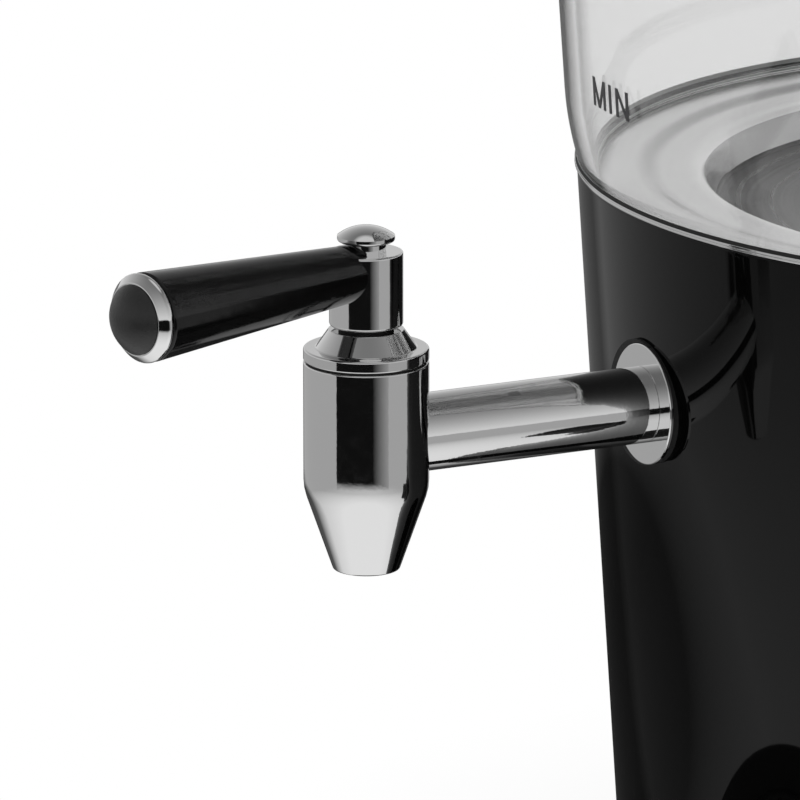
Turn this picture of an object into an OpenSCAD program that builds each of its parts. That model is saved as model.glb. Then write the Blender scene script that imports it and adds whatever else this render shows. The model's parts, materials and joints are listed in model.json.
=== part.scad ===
// Electric tea maker: conical body, glass tank over a steel pan, lever tap and drip tray.
// Millimetres. The origin is on the body's axis at the table, +Z is up and the tap points along -Y.

/* [Body] */
// Outer radius of the shell at its top edge
rim_r = 100; // [96:0.5:104]
// Height of the shell's top edge above the table
rim_z = 148; // [142:1:156]
// Radius that the shell loses for each millimetre of depth
taper = 0.066; // [0.056:0.002:0.074]
// Wall of the shell
shell_t = 1.2; // [0.8:0.1:1.6]
// Height of the plinth's top, where the shell stands
plinth_top = 22; // [19:0.5:25]
// Wall of the plinth at its foot
plinth_t = 4; // [3:0.25:5]
// Height of the rubber foot ring
foot_h = 5; // [4:0.25:6]
// Width of the foot ring
foot_w = 9; // [6:0.5:12]
// Thickness of the base plate
base_t = 2.5; // [2:0.25:3]
// How far the tie studs stand inside the heater plate's edge
stud_in = 4; // [3.5:0.25:5]
// Radius of a tie stud
stud_r = 2; // [1.5:0.1:2.5]
// Height of the heat shield above the table
shield_z = 97; // [93:1:100]
// How far the heat shield's edge lies inside the shell
shield_in = 11.4; // [8:0.2:24]

/* [Tank] */
// Height of the glass above the shell's edge
glass_h = 140; // [130:1:150]
// Wall of the glass
glass_t = 2.8; // [2.2:0.1:3.2]
// How far the line of the glass stands outside the shell's edge
glass_out = 1.3; // [1:0.1:1.6]
// Radius that the glass gains for each millimetre of height
glass_taper = 0.07; // [0.06:0.002:0.08]
// Height over which the foot of the glass draws in
neck_h = 14; // [11:0.5:16]
// Radius of that curve
neck_curve_r = 53; // [48:1:60]
// Height of the steel band round the foot of the glass
band_h = 1.6; // [1.2:0.1:2]
// Thickness of the seal under the glass
seal_t = 0.4; // [0.3:0.05:0.6]
// Sheet of the boiler pan
pan_t = 1; // [0.8:0.1:1.2]
// How far the pan's edge lies inside the shell's edge
pan_in = 2.8; // [2.6:0.1:3.4]
// How far the soft step round the shelf lies inside the pan's edge
step_in = 12.2; // [10:0.2:13.8]
// Depth of that step
step_d = 0.8; // [0.5:0.1:1]
// How far the wall of the recess lies inside the pan's edge
recess_in = 21.9; // [20.5:0.1:24]
// Depth of the recess below the shelf
recess_d = 7; // [6:0.25:9]
// Rounding of the recess lip
lip_f = 3.2; // [2.5:0.1:3.6]
// How far the ring line in the recess floor lies inside the recess wall
ring_in = 5.3; // [4.4:0.1:6.4]
// Steel of the band over the top edge of the glass
trim_t = 1.2; // [0.8:0.1:1.6]
// Depth of that band
trim_h = 6; // [4:0.5:8]

/* [Heating] */
// How far the heater plate's edge lies inside the drain
heater_in = 10; // [8.75:0.25:11.5]
// Thickness of the heater plate
heater_t = 6; // [5:0.25:8]
// How far the ring of the heating element lies inside the heater plate's edge
element_in = 13; // [11.5:0.25:18]
// Radius of the element's tube
element_r = 3.3; // [2.8:0.1:3.5]
// Radius of the thermal cut-out
cutout_r = 9; // [7:0.5:12]

/* [Tap] */
// Height of the tap's pipe above the table
tap_z = 114.5; // [113:0.5:116]
// How far the valve's axis stands outside the shell's edge
valve_out = 53.3; // [48:0.5:58]
// Radius of the pipe
pipe_r = 6.8; // [6.2:0.1:7.2]
// Bore of the pipe
pipe_bore_r = 3.2; // [2.6:0.1:3.6]
// Radius of the threaded tail behind the flange
tail_r = 5; // [4.4:0.1:5.4]
// Radius of the flange
flange_r = 10.8; // [10:0.1:12]
// Thickness of the flange
flange_t = 0.8; // [0.6:0.05:1]
// Radius of the valve body
valve_r = 10.9; // [10.3:0.1:11.5]
// Radius of the valve's chamber
chamber_r = 7; // [6.4:0.1:7.2]
// Height of the valve body's top edge above the pipe
valve_top = 14; // [13.5:0.1:14.5]
// Depth of the shoulder below the pipe
shoulder_d = 7.8; // [7.4:0.1:8.5]
// Depth of the outlet below the pipe
outlet_d = 23.1; // [21:0.1:25]
// Outer radius of the outlet
outlet_r = 5.8; // [5.4:0.1:6.4]
// Bore of the outlet
outlet_bore_r = 4.4; // [4:0.1:4.8]
// Height of the bonnet's edge
bonnet_t = 2.1; // [1.6:0.1:2.6]
// Height of the bonnet's cone
bonnet_cone_h = 2.9; // [2.4:0.1:3.4]
// How far the drain in the pan lies inside the ring line
drain_in = 6; // [5:0.25:7]
// Radius of the bend in the hose
hose_bend_r = 12; // [11:0.25:12.5]
// Wall of the hose
hose_t = 2.2; // [1.6:0.1:2.4]

/* [Lever] */
// Turn of the lever from the pipe's line at rest
lever_angle = 16; // [0:1:30]
// Radius of the lever's hub
hub_r = 6.4; // [6:0.1:7]
// Height of the hub
hub_h = 13.1; // [12.5:0.1:14]
// Height of the grip's axis above the hub's foot
grip_axis_h = 9.7; // [9:0.1:10]
// Radius of the grip where it would meet the hub's axis
grip_r0 = 4.7; // [4.4:0.1:5]
// Radius that the grip gains for each millimetre of length
grip_taper = 0.06; // [0.05:0.002:0.07]
// Distance of the grip's far end from the hub's axis
grip_end = 49.6; // [45:0.2:54]
// Length of the ring at the grip's end
ring_l = 2.6; // [2.3:0.1:3.2]
// Radius of the rod through the grip
rod_r = 1.8; // [1.4:0.1:2]
// Radius of the cap on the hub
hub_cap_r = 5; // [4.5:0.1:5.6]
// Height of the cap on the hub, with its neck
hub_cap_h = 4.5; // [4:0.1:5.5]

/* [Lid and infuser] */
// Height of the lid's crown above its edge
lid_crown = 8.2; // [7:0.2:10]
// Radius of the opening in the lid
lid_open_r = 46; // [44:0.5:48]
// Outer radius of the infuser's flange
infuser_flange_r = 52.4; // [51:0.2:54]
// Outer radius of the infuser
infuser_r = 44.5; // [42:0.25:45.5]
// Sheet of the infuser
infuser_t = 0.8; // [0.6:0.1:1]
// Depth of the infuser
infuser_h = 100; // [80:1:115]
// Count of the slots round the infuser
slot_n = 24; // [12:2:30]
// Width of a slot
slot_w = 1.8; // [1.2:0.1:2.4]
// Height of the cap's knob
knob_h = 18; // [15:0.5:22]
// Radius of the cap's knob
knob_r = 10.5; // [9.5:0.25:12]

/* [Controls] */
// Turn of the control knob round the body from the tap
dial_az = 50; // [46:1:52]
// Height of the control knob
dial_z = 62; // [58:1:66]
// Radius of the dial's bezel
bezel_r = 23; // [20:0.5:24]
// Radius of the control knob's skirt
dial_r = 17; // [15:0.5:18.5]
// Depth of the control knob
dial_h = 16; // [14:0.5:18]
// Radius of the control shaft
shaft_r = 3; // [2.5:0.1:3.4]
// Turn of the power button round the body from the tap
button_az = 77; // [76:1:80]
// Height of the power button
button_z = 54; // [50:1:57]
// Radius of the power button
button_r = 5.4; // [5:0.1:6]
// Travel of the power button
button_travel = 2.2; // [1.5:0.1:2.4]
// Height of the lamp
lamp_z = 80; // [77:1:84]
// Radius of the lamp's lens
lamp_r = 4; // [3:0.1:4.5]
// Height of the appliance inlet at the back
inlet_z = 46; // [43:1:52]
// Width of the inlet's plate
inlet_w = 50; // [48:0.5:54]
// Height of the inlet's plate
inlet_h = 24; // [23:0.5:26]

/* [Drip tray] */
// Radius of the tray
tray_r = 36; // [34:0.5:40]
// Height of the tray
tray_h = 14.7; // [13:0.1:17]
// Wall of the tray
tray_t = 2; // [1.6:0.1:2.4]
// Radius of the grille's seat
grille_seat_r = 22.5; // [20:0.5:25]
// Thickness of the grille
grille_t = 1.6; // [1.2:0.1:2]
// Width of the tongue that docks the tray in the plinth
tongue_w = 30; // [24:1:36]
// Height of the tongue
tongue_h = 8; // [7:0.25:9]

/* [Clearances] */
// Gap beside a part that turns in a bore
run_c = 0.05; // [0.02:0.01:0.1]
// Gap beside a part that is pushed into place
fit_c = 0.2; // [0.1:0.05:0.3]
// Gap beside a part that lifts or slides away
slide_c = 0.4; // [0.3:0.05:0.6]

/* [Hidden] */
$fn = 96;

// Colours
black_gloss = "#141414";
black_matte = "#202020";
steel = "#b9b9b9";
chrome = "#d8d8d8";
silicone = "#c9ccca";

// Cutting tools run past the faces that they cut by this much
past = 1;
// A cut through the curved wall runs this far to each side of it
reach = 10;
// Sides of the cone that saddles are cut to
cone_fn = 720;

// Radii about the body's axis, each from the one outside it
valve_reach = rim_r + valve_out;
shield_r = shell_r(shield_z) - shell_t - shield_in;
pan_r = rim_r - pan_in;
step_r = pan_r - step_in;
recess_r = pan_r - recess_in;
ring_r = recess_r - ring_in;
drain_y = ring_r - drain_in;
heater_r = drain_y - heater_in;
stud_pcr = heater_r - stud_in;
element_pcr = heater_r - element_in;

// Body
edge_c = 0.6;
fine_c = 0.3;
spigot_h = 4;
ledge_w = 4;
ledge_t = 2.5;
plinth_in = shell_r(foot_h) - plinth_t;
spigot_r = shell_r(plinth_top) - shell_t - fit_c;
base_top = foot_h + base_t;
base_r = plinth_in - fit_c;
foot_r = base_r - ledge_w;
peg_r = 2;
peg_n = 6;
vent_n = 8;
vent_gap = 6;
stud_n = 3;
stud_turn = 30;
stud_shoulder = 1.2;
shield_t = 1;
nut_h = 3;
nut_r = 2.2 * stud_r;

// Pan and tank
skirt_h = 6;
skirt_w = 2;
ledge_in = pan_r - 5.2;
skirt_out = shell_r(rim_z - skirt_h) - shell_t - fit_c;
band_t = 0.4;
band_r = glass_r(band_h) + run_c + band_t;
band_in = pan_r + fit_c;
seat_t = 0.4;
step_w = 1.6;
ring_d = 0.6;
recess_f = 2;
floor_z = rim_z - recess_d;
pan_under = floor_z - ring_d - pan_t;
seal_z = rim_z + seat_t;
glass_z = seat_t + seal_t;
top_z = rim_z + glass_h;
glass_top_r = glass_r(glass_h);
trim_in = glass_top_r - glass_t - glass_taper * trim_h - fit_c - trim_t;
trim_out = glass_top_r + fit_c;

// Lid, measured up from the lid's own edge
lid_z = top_z + trim_t;
lid_t = 1.2;
lid_r = trim_out + trim_t - 0.8;
lid_fall_r = lid_r - 7;
lid_fall_h = 2.3;
lid_mid_r = lid_r - 31.7;
lid_mid_h = 0.73 * lid_crown;
lid_seat_r = infuser_flange_r + 0.6;
infuser_flange_t = 1;
lid_seat_h = lid_crown - infuser_flange_t;
lid_gap = 1.4;
steam_r = 2.5;
lid_spigot_r = trim_in - lid_gap;
lid_spigot_t = 1.4;
lid_spigot_h = 8;
lid_seal_w = lid_gap - slide_c;
lug_x = lid_r - 17.7;
lug_w = 12;
lug_l = 40;
lug_h = 13;
lug_f = 5;
infuser_top = lid_z + lid_seat_h + infuser_flange_t;
infuser_floor = infuser_top - infuser_h;
slot_margin = 12;
cap_r = infuser_flange_r - 1.4;
cap_t = 1.2;
cap_crown = 6.8;
cap_fall = 2.4;
cap_flat_r = 12;
cap_spigot_r = infuser_r - infuser_t - 1.3;
cap_spigot_h = 0.8;
cap_ring_h = 2;
cap_ring_r = knob_r - 1.5;
cap_screw_r = 2;
cap_screw_head_h = 2.2;
knob_bore = 0.6;
knob_z = infuser_top + cap_crown + cap_ring_h;

// Heating
heater_top = pan_under;
heater_under = heater_top - heater_t;
channel_d = 2.5;
element_z = heater_under + channel_d - element_r;
element_gap = 36;
pin_l = 14;
pin_r = 1.3;
cutout_h = 8;
tab_t = 0.8;
tab_w = 5;
tab_l = 7;

// Tap, measured out from the body's axis along the pipe
wall_r = shell_r(tap_z);
flange_back = shell_r(tap_z + flange_r) + fit_c;
flange_front = flange_back + flange_t;
gasket_r = flange_r + 0.4;
gasket_shift = 1.5;
gasket_root = wall_r - 6;
tail_end = drain_y + hose_bend_r + 4;
washer_r = 9.5;
washer_t = 3;
washer_face = wall_r - shell_t - washer_t;
locknut_h = 4;
locknut_r = 9;
socket_d = 8;
nipple_r = tail_r;
nipple_end = 9;
hose_r = tail_r + run_c + hose_t;
hose_leg = washer_face - locknut_h - 1 - drain_y - hose_bend_r;
clip_w = 4;
hose_gap = 2;
clip_inset = 1;
clip_t = 0.8;

// Valve, measured up from the pipe's axis
seam_t = 0.4;
chamber_d = shoulder_d + 1.7;
bonnet_z = valve_top + seam_t;
bonnet_top = bonnet_z + bonnet_t;
bonnet_cone_r = 8.3;
bonnet_neck_r = 5.9;
bonnet_spigot_l = 5.6;
plug_top = bonnet_z - bonnet_spigot_l - fit_c;
plug_foot = -chamber_d + fit_c;
port_r = pipe_bore_r;
stem_r = 3;
stem_in_hub = 4.2;
ring_wire_r = 0.72;
ring_inset = 1.8;
ring_heights = [plug_foot + ring_inset, plug_top - ring_inset];
neck_ring_r = 4.8;
neck_ring_z = bonnet_top + bonnet_cone_h + 0.1;
neck_ring_t = 0.9;
hub_z = neck_ring_z + neck_ring_t;
hub_chamfer = 1;
grip_z = hub_z + grip_axis_h;
grip_start = 2.8;
end_cap_r = 6;
end_cap_h = 5.2;
hub_neck_r = 2.65;
hub_neck_h = 1.8;
hub_peg_r = 1.5;
hub_peg_l = hub_h - grip_axis_h - rod_r - 0.3;

// Controls, measured out from the body's axis
dial_wall = shell_r(dial_z);
bezel_face = shell_r(dial_z + bezel_r) + 1.2;
dial_back = bezel_face + 0.5;
shaft_l = 11;
shaft_hole_r = shaft_r + 1;
knob_cap_r = 9;
knob_cap_t = 1;
bush_r = 5.5;
bracket_w = 30;
bracket_h = 24;
bracket_face = dial_wall - 8;
thermostat_w = 34;
thermostat_h = 28;
thermostat_d = 18;
button_wall = shell_r(button_z);
button_flange_r = 10;
button_face = shell_r(button_z + button_flange_r) + 1.4;
barrel_r = button_r + fit_c + 1.6;
barrel_l = 14;
barrel_end = button_wall - barrel_l;
button_depth = 8;
button_back = button_wall - button_depth;
button_front = button_face + button_travel + 0.8;
plunger_r = 2.5;
plunger_gap = 0.3;
plunger_l = barrel_l - button_depth - button_travel - plunger_gap;
switch_w = 16;
switch_d = 14;
lamp_wall = shell_r(lamp_z);
lamp_flange_r = lamp_r + 2.5;
lamp_face = shell_r(lamp_z + lamp_flange_r) + 0.8;
lamp_barrel_r = lamp_r + 1;
lamp_tail = lamp_wall - 16;
inlet_wall = shell_r(inlet_z);
inlet_face = shell_r(inlet_z + inlet_h / 2) + 1.8;
inlet_body_w = 28;
inlet_body_h = 21;
inlet_body_d = 26;
inlet_socket_w = 24;
inlet_socket_h = 17;
inlet_socket_d = 18;
blade_w = 2;
blade_h = 4;
blade_step = 7;
blade_rise = 3;
blade_tail = 6;

// Drip tray
tray_edge = 1.2;
grille_z = tray_h - 6.1;
tray_fall = 4;
sump_r = grille_seat_r - 1.7;
sump_floor = 3;
tongue_end = plinth_in + 0.4;
grille_slots = 7;
grille_slot_w = 2.4;
grille_step = 5;
grille_edge = 3.5;
grille_r = grille_seat_r - 0.3;

// Radius of the shell's outside at a height
function shell_r(z) = rim_r - taper * (rim_z - z);

// Outer radius of the glass at a height above the shell's edge
function glass_r(h) = rim_r + glass_out + glass_taper * h - pow(max(0, neck_h - h), 2) / (2 * neck_curve_r);

// Radius of the grip at a distance from the hub's axis
function grip_r(d) = grip_r0 + grip_taper * d;

// Points of an arc, from one angle to another
function arc(cx, cy, r, from, to, steps = 6) =
    [for (i = [0:steps])
        let (a = from + (to - from) * i / steps) [cx + r * cos(a), cy + r * sin(a)]];

// A turned part from its half section of radius and height
module turned(points) {
    rotate_extrude() polygon(points);
}

// A level axis out of the body: local Z runs outward, local Y up
module radial(az, z) {
    rotate([0, 0, az]) translate([0, 0, z]) rotate([90, 0, 0]) children();
}

// A cylinder between two places on its axis
module rod(r, from, to) {
    translate([0, 0, from]) cylinder(r = r, h = to - from);
}

// A tube between two places on its axis
module tube(r, bore, from, to) {
    difference() {
        rod(r, from, to);
        rod(bore, from - past, to + past);
    }
}

// A block centred on the axis, between two places along it
module block(w, h, from, to) {
    translate([-w / 2, -h / 2, from]) cube([w, h, to - from]);
}

// The shell's cone as a solid, drawn in by an inset
module body_cone(inset) {
    cylinder(r1 = shell_r(0) - inset, r2 = rim_r - inset, h = rim_z, $fn = cone_fn);
}

// Copies at equal turns
module around(n, turn = 0) {
    for (i = [0:n - 1]) rotate([0, 0, turn + 360 * i / n]) children();
}

// The valve's frame: the pipe's height on the valve's axis
module at_valve() {
    translate([0, -valve_reach, tap_z]) children();
}

// The lever's frame at rest
module at_lever() {
    at_valve() rotate([0, 0, lever_angle]) children();
}

// The grip's frame: local Z runs out along the grip
module at_grip() {
    at_lever() translate([0, 0, grip_z]) rotate([90, 0, 0]) children();
}

module hex_nut(r, bore, from, to) {
    difference() {
        translate([0, 0, from]) cylinder(r = r, h = to - from, $fn = 6);
        rod(bore, from - past, to + past);
    }
}

// Body and base
module outer_shell() {
    color(black_gloss) difference() {
        turned([[shell_r(plinth_top) - shell_t, plinth_top], [shell_r(plinth_top), plinth_top],
            [rim_r, rim_z], [rim_r - shell_t, rim_z]]);
        radial(0, tap_z) rod(tail_r + fit_c, wall_r - reach, wall_r + reach);
        radial(dial_az, dial_z) rod(shaft_hole_r, dial_wall - reach, dial_wall + reach);
        radial(button_az, button_z) rod(barrel_r + fit_c, button_wall - reach, button_wall + reach);
        radial(button_az, lamp_z) rod(lamp_barrel_r + fit_c, lamp_wall - reach, lamp_wall + reach);
        radial(180, inlet_z)
            block(inlet_body_w + 2 * fit_c, inlet_body_h + 2 * fit_c, inlet_wall - reach, inlet_wall + reach);
    }
}

module plinth() {
    color(black_matte) difference() {
        turned([[plinth_in, foot_h], [shell_r(foot_h), foot_h],
            [shell_r(plinth_top - edge_c), plinth_top - edge_c],
            [shell_r(plinth_top) - edge_c, plinth_top],
            [spigot_r, plinth_top], [spigot_r, plinth_top + spigot_h], [plinth_in, plinth_top + spigot_h],
            [plinth_in, base_top + ledge_t], [plinth_in - ledge_w, base_top + ledge_t],
            [plinth_in - ledge_w, base_top], [plinth_in, base_top]]);
        translate([-tongue_w / 2 - slide_c, -rim_r, 0])
            cube([tongue_w + 2 * slide_c, rim_r - plinth_in + plinth_t, tongue_h + slide_c]);
    }
}

module base_plate() {
    vent_l = foot_r - foot_w - stud_pcr - 2 * vent_gap;
    color(black_matte) difference() {
        rod(base_r, foot_h, base_top);
        around(stud_n, stud_turn) translate([stud_pcr, 0, 0]) rod(stud_r + fit_c, 0, base_top + past);
        around(peg_n) translate([foot_r - foot_w / 2, 0, 0]) rod(peg_r + run_c, 0, base_top + past);
        around(vent_n, 180 / vent_n)
            translate([foot_r - foot_w - vent_gap - vent_l, -vent_l / 4, 0])
                cube([vent_l, vent_l / 2, base_top + past]);
    }
}

module foot_ring() {
    color("#2a2a2a") {
        tube(foot_r, foot_r - foot_w, 0, foot_h);
        around(peg_n) translate([foot_r - foot_w / 2, 0, 0]) rod(peg_r, foot_h - past, base_top + past);
    }
}

module tie_studs() {
    color(steel) around(stud_n, stud_turn) translate([stud_pcr, 0, 0]) {
        rod(stud_r, foot_h - nut_h - fit_c, heater_under);
        rod(stud_r + stud_shoulder, shield_z + shield_t, heater_under);
    }
}

module stud_nuts() {
    color(steel) around(stud_n, stud_turn) translate([stud_pcr, 0, 0])
        hex_nut(nut_r, stud_r + run_c, foot_h - nut_h, foot_h);
}

module shield_nuts() {
    color(steel) around(stud_n, stud_turn) translate([stud_pcr, 0, 0])
        hex_nut(nut_r, stud_r + run_c, shield_z - nut_h, shield_z);
}

module heat_shield() {
    color(steel) difference() {
        rod(shield_r, shield_z, shield_z + shield_t);
        around(stud_n, stud_turn) translate([stud_pcr, 0, 0])
            rod(stud_r + fit_c, shield_z - past, shield_z + shield_t + past);
    }
}

module rim_ring() {
    color(steel) translate([0, 0, rim_z])
        turned([[ledge_in, -pan_t - 2], [skirt_out - skirt_w, -pan_t - 2], [skirt_out - skirt_w, -skirt_h],
            [skirt_out, -skirt_h], [skirt_out, 0], [band_r, 0], [band_r, band_h], [band_r - band_t, band_h],
            [band_r - band_t, seat_t], [band_in, seat_t], [band_in, -pan_t], [ledge_in, -pan_t]]);
}

// Tank
module boiler_pan() {
    lip_z = rim_z - step_d - lip_f;
    upper = concat([[pan_r, rim_z], [step_r + step_w, rim_z], [step_r - step_w, rim_z - step_d]],
        arc(recess_r + lip_f, lip_z, lip_f, 90, 180),
        arc(recess_r - recess_f, floor_z + recess_f, recess_f, 0, -90),
        [[ring_r + ring_d, floor_z], [ring_r - ring_d, floor_z - ring_d], [0, floor_z - ring_d]]);
    lower = concat([[0, pan_under], [ring_r - ring_d, pan_under], [ring_r + ring_d, floor_z - pan_t]],
        arc(recess_r - recess_f, floor_z + recess_f, recess_f + pan_t, -90, 0),
        arc(recess_r + lip_f, lip_z, lip_f - pan_t, 180, 90),
        [[step_r - step_w, rim_z - step_d - pan_t], [step_r + step_w, rim_z - pan_t],
        [pan_r, rim_z - pan_t]]);
    color(steel) difference() {
        turned(concat(upper, lower));
        translate([0, -drain_y, 0]) rod(pipe_bore_r, pan_under - past, floor_z + past);
    }
}

module glass_seal() {
    color(silicone) tube(glass_r(glass_z) - fine_c, glass_r(glass_z) - glass_t, seal_z, seal_z + seal_t);
}

module glass_tank() {
    steps = 8;
    heights = concat([for (i = [0:steps]) glass_z + (neck_h - glass_z) * i / steps], [glass_h]);
    outside = [for (h = heights) [glass_r(h), rim_z + h]];
    inside = [for (i = [len(heights) - 1:-1:0]) [glass_r(heights[i]) - glass_t, rim_z + heights[i]]];
    color("#dfe3e3", 0.4) turned(concat(outside, inside));
}

module tank_rim() {
    out = trim_out + trim_t;
    color(steel) turned([[trim_in, top_z - trim_h], [trim_in + trim_t, top_z - trim_h],
        [trim_in + trim_t, top_z], [trim_out, top_z], [trim_out, top_z - trim_h], [out, top_z - trim_h],
        [out, top_z + trim_t / 2], [out - trim_t / 2, top_z + trim_t], [trim_in, top_z + trim_t]]);
}

// Lid and infuser
module lid_solid() {
    turned([[0, 0], [lid_r, 0], [lid_r, lid_t], [lid_fall_r, lid_fall_h], [lid_mid_r, lid_mid_h],
        [lid_seat_r + 3, lid_crown], [0, lid_crown]]);
}

module lid_plate() {
    spigot_in = lid_spigot_r - lid_spigot_t;
    color(steel) translate([0, 0, lid_z]) difference() {
        turned([[lid_r, 0], [lid_r, lid_t], [lid_fall_r, lid_fall_h], [lid_mid_r, lid_mid_h],
            [lid_seat_r + 3, lid_crown], [lid_seat_r, lid_crown], [lid_seat_r, lid_seat_h],
            [lid_open_r, lid_seat_h], [lid_open_r, lid_seat_h - lid_t], [lid_seat_r + 1, lid_seat_h - lid_t],
            [lid_mid_r, lid_mid_h - lid_t], [spigot_in, 1], [spigot_in, -lid_spigot_h],
            [lid_spigot_r, -lid_spigot_h], [lid_spigot_r, 0]]);
        translate([0, lid_mid_r, 0]) rod(steam_r, -past, lid_crown + past);
    }
}

module lid_seal() {
    color(silicone)
        tube(lid_spigot_r + lid_seal_w, lid_spigot_r, lid_z - lid_spigot_h + 2, lid_z - lid_spigot_h + 5);
}

module lid_lugs() {
    outline = concat([[-lug_l / 2, 0], [lug_l / 2, 0]], arc(lug_l / 2 - lug_f, lug_h - lug_f, lug_f, 0, 90),
        arc(-lug_l / 2 + lug_f, lug_h - lug_f, lug_f, 90, 180));
    color(black_matte) translate([0, 0, lid_z]) difference() {
        for (side = [0, 180])
            rotate([0, 0, side]) translate([lug_x - lug_w / 2, 0, 0])
                rotate([90, 0, 90]) linear_extrude(lug_w) polygon(outline);
        lid_solid();
    }
}

module infuser_basket() {
    in = infuser_r - infuser_t;
    slot_foot = infuser_floor + slot_margin;
    slot_l = infuser_h - 2 * slot_margin - infuser_flange_t;
    color(steel) difference() {
        turned([[0, infuser_floor], [infuser_r, infuser_floor], [infuser_r, infuser_top - infuser_flange_t],
            [infuser_flange_r, infuser_top - infuser_flange_t], [infuser_flange_r, infuser_top],
            [in, infuser_top], [in, infuser_floor + infuser_t], [0, infuser_floor + infuser_t]]);
        around(slot_n) translate([in - past, -slot_w / 2, slot_foot])
            cube([infuser_t + 2 * past, slot_w, slot_l]);
        around(slot_n / 2) translate([infuser_r * 0.6, 0, infuser_floor - past]) cylinder(r = slot_w, h = 3);
    }
}

module infuser_cap() {
    in = cap_spigot_r - cap_t;
    color(steel) translate([0, 0, infuser_top]) difference() {
        turned([[0, cap_crown - cap_t], [cap_flat_r, cap_crown - cap_t],
            [0.9 * cap_spigot_r, cap_crown - cap_fall - cap_t], [in, cap_t + fit_c],
            [in, -cap_spigot_h], [cap_spigot_r, -cap_spigot_h], [cap_spigot_r, 0],
            [cap_r, 0], [cap_r, cap_t], [0.95 * cap_spigot_r, cap_crown - cap_fall], [cap_flat_r, cap_crown],
            [0, cap_crown]]);
        rod(cap_screw_r + fit_c, 0, cap_crown + past);
    }
}

module cap_knob_ring() {
    color(chrome) tube(cap_ring_r, cap_screw_r + fit_c, knob_z - cap_ring_h, knob_z);
}

module cap_knob() {
    waist = 0.62 * knob_r;
    crown_f = 0.35 * knob_r;
    section = concat([[0, 0], [cap_ring_r - 1, 0], [waist, knob_h * 0.35], [knob_r, knob_h * 0.72]],
        arc(knob_r - crown_f, knob_h - crown_f, crown_f, 0, 90), [[0, knob_h]]);
    color(black_gloss) translate([0, 0, knob_z]) difference() {
        turned(section);
        rod(cap_screw_r + run_c, -past, knob_h * knob_bore + fit_c);
    }
}

module cap_screw() {
    head_top = infuser_top + cap_crown - cap_t;
    color(steel) {
        rod(cap_screw_r, head_top - cap_screw_head_h, knob_z + knob_h * knob_bore);
        rod(2 * cap_screw_r, head_top - cap_screw_head_h, head_top);
    }
}

// Heating
module heater_plate() {
    color("#9a9da0") difference() {
        rod(heater_r, heater_under, heater_top);
        tube(element_pcr + element_r + fit_c, element_pcr - element_r - fit_c,
            heater_under - past, heater_under + channel_d);
    }
}

module heating_element() {
    color("#5b5b5b") translate([0, 0, element_z]) rotate([0, 0, 90 + element_gap / 2]) {
        rotate_extrude(angle = 360 - element_gap) translate([element_pcr, 0]) circle(r = element_r);
        for (end = [4, 360 - element_gap - 4])
            rotate([0, 0, end]) translate([element_pcr, 0, 0]) rod(pin_r, -pin_l, 0);
    }
}

module thermal_cutout() {
    color("#3a3a3a") {
        rod(cutout_r, heater_under - cutout_h, heater_under);
        for (side = [-1, 1])
            translate([side * cutout_r * 0.55, 0, heater_under - cutout_h])
                block(tab_t, tab_w, -tab_l, past);
    }
}

// Outlet from the pan to the tap
module drain_nipple() {
    color(steel) translate([0, -drain_y, 0]) tube(nipple_r, pipe_bore_r, pan_under - nipple_end, pan_under);
}

module hose_path(r, extra) {
    bend_y = -drain_y - hose_bend_r;
    bend_z = tap_z + hose_bend_r;
    translate([0, -drain_y, 0]) rod(r, bend_z, pan_under - hose_gap + extra);
    translate([0, bend_y, bend_z]) rotate([-90, 0, 90]) rotate_extrude(angle = 90)
        translate([hose_bend_r, 0]) circle(r = r);
    radial(0, tap_z) rod(r, -bend_y, -bend_y + hose_leg + extra);
}

module outlet_hose() {
    color(silicone) difference() {
        hose_path(hose_r, 0);
        hose_path(hose_r - hose_t, past);
    }
}

module hose_clip() {
    tube(hose_r + clip_t, hose_r + run_c, 0, clip_w);
    translate([hose_r + clip_t - 0.3, -1.5, 0]) cube([4, 3, clip_w]);
}

module hose_clips() {
    color(steel) {
        translate([0, -drain_y, pan_under - hose_gap - clip_inset - clip_w]) hose_clip();
        radial(0, tap_z) translate([0, 0, tail_end + clip_inset]) hose_clip();
    }
}

// Tap; the gasket has squeezed out on one side of the flange
module tap_gasket() {
    color("#151515") difference() {
        radial(0, tap_z) translate([-gasket_shift, 0, 0]) rod(gasket_r, gasket_root, flange_front - fine_c);
        radial(0, tap_z) rod(flange_r + run_c, flange_back, flange_front + past);
        radial(0, tap_z) rod(tail_r + fit_c, gasket_root - past, flange_front);
        body_cone(0);
    }
}

module tap_flange() {
    color(chrome) radial(0, tap_z) turned([[tail_r + run_c, flange_back], [flange_r, flange_back],
        [flange_r, flange_front - fine_c], [flange_r - fine_c, flange_front],
        [tail_r + run_c, flange_front]]);
}

module tap_pipe() {
    color(chrome) radial(0, tap_z) difference() {
        union() {
            rod(pipe_r, flange_front, valve_reach - socket_d);
            rod(tail_r, tail_end, flange_front + past);
        }
        rod(pipe_bore_r, tail_end - past, valve_reach);
    }
}

module tap_washer() {
    color("#151515") intersection() {
        radial(0, tap_z) tube(washer_r, tail_r + fit_c, washer_face, wall_r);
        body_cone(shell_t);
    }
}

module tap_locknut() {
    color("#c2a35a") radial(0, tap_z)
        hex_nut(locknut_r, tail_r + run_c, washer_face - locknut_h, washer_face);
}

module valve_body() {
    lip = 0.5;
    color(chrome) difference() {
        at_valve() turned([[outlet_bore_r, -outlet_d], [outlet_r - lip, -outlet_d],
            [outlet_r, -outlet_d + lip], [valve_r, -shoulder_d], [valve_r, valve_top],
            [chamber_r, valve_top], [chamber_r, -chamber_d], [outlet_bore_r, -chamber_d]]);
        radial(0, tap_z) {
            rod(pipe_r + run_c, valve_reach - valve_r - past, valve_reach - socket_d);
            rod(pipe_bore_r, valve_reach - valve_r, valve_reach - chamber_r + past);
        }
    }
}

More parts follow.
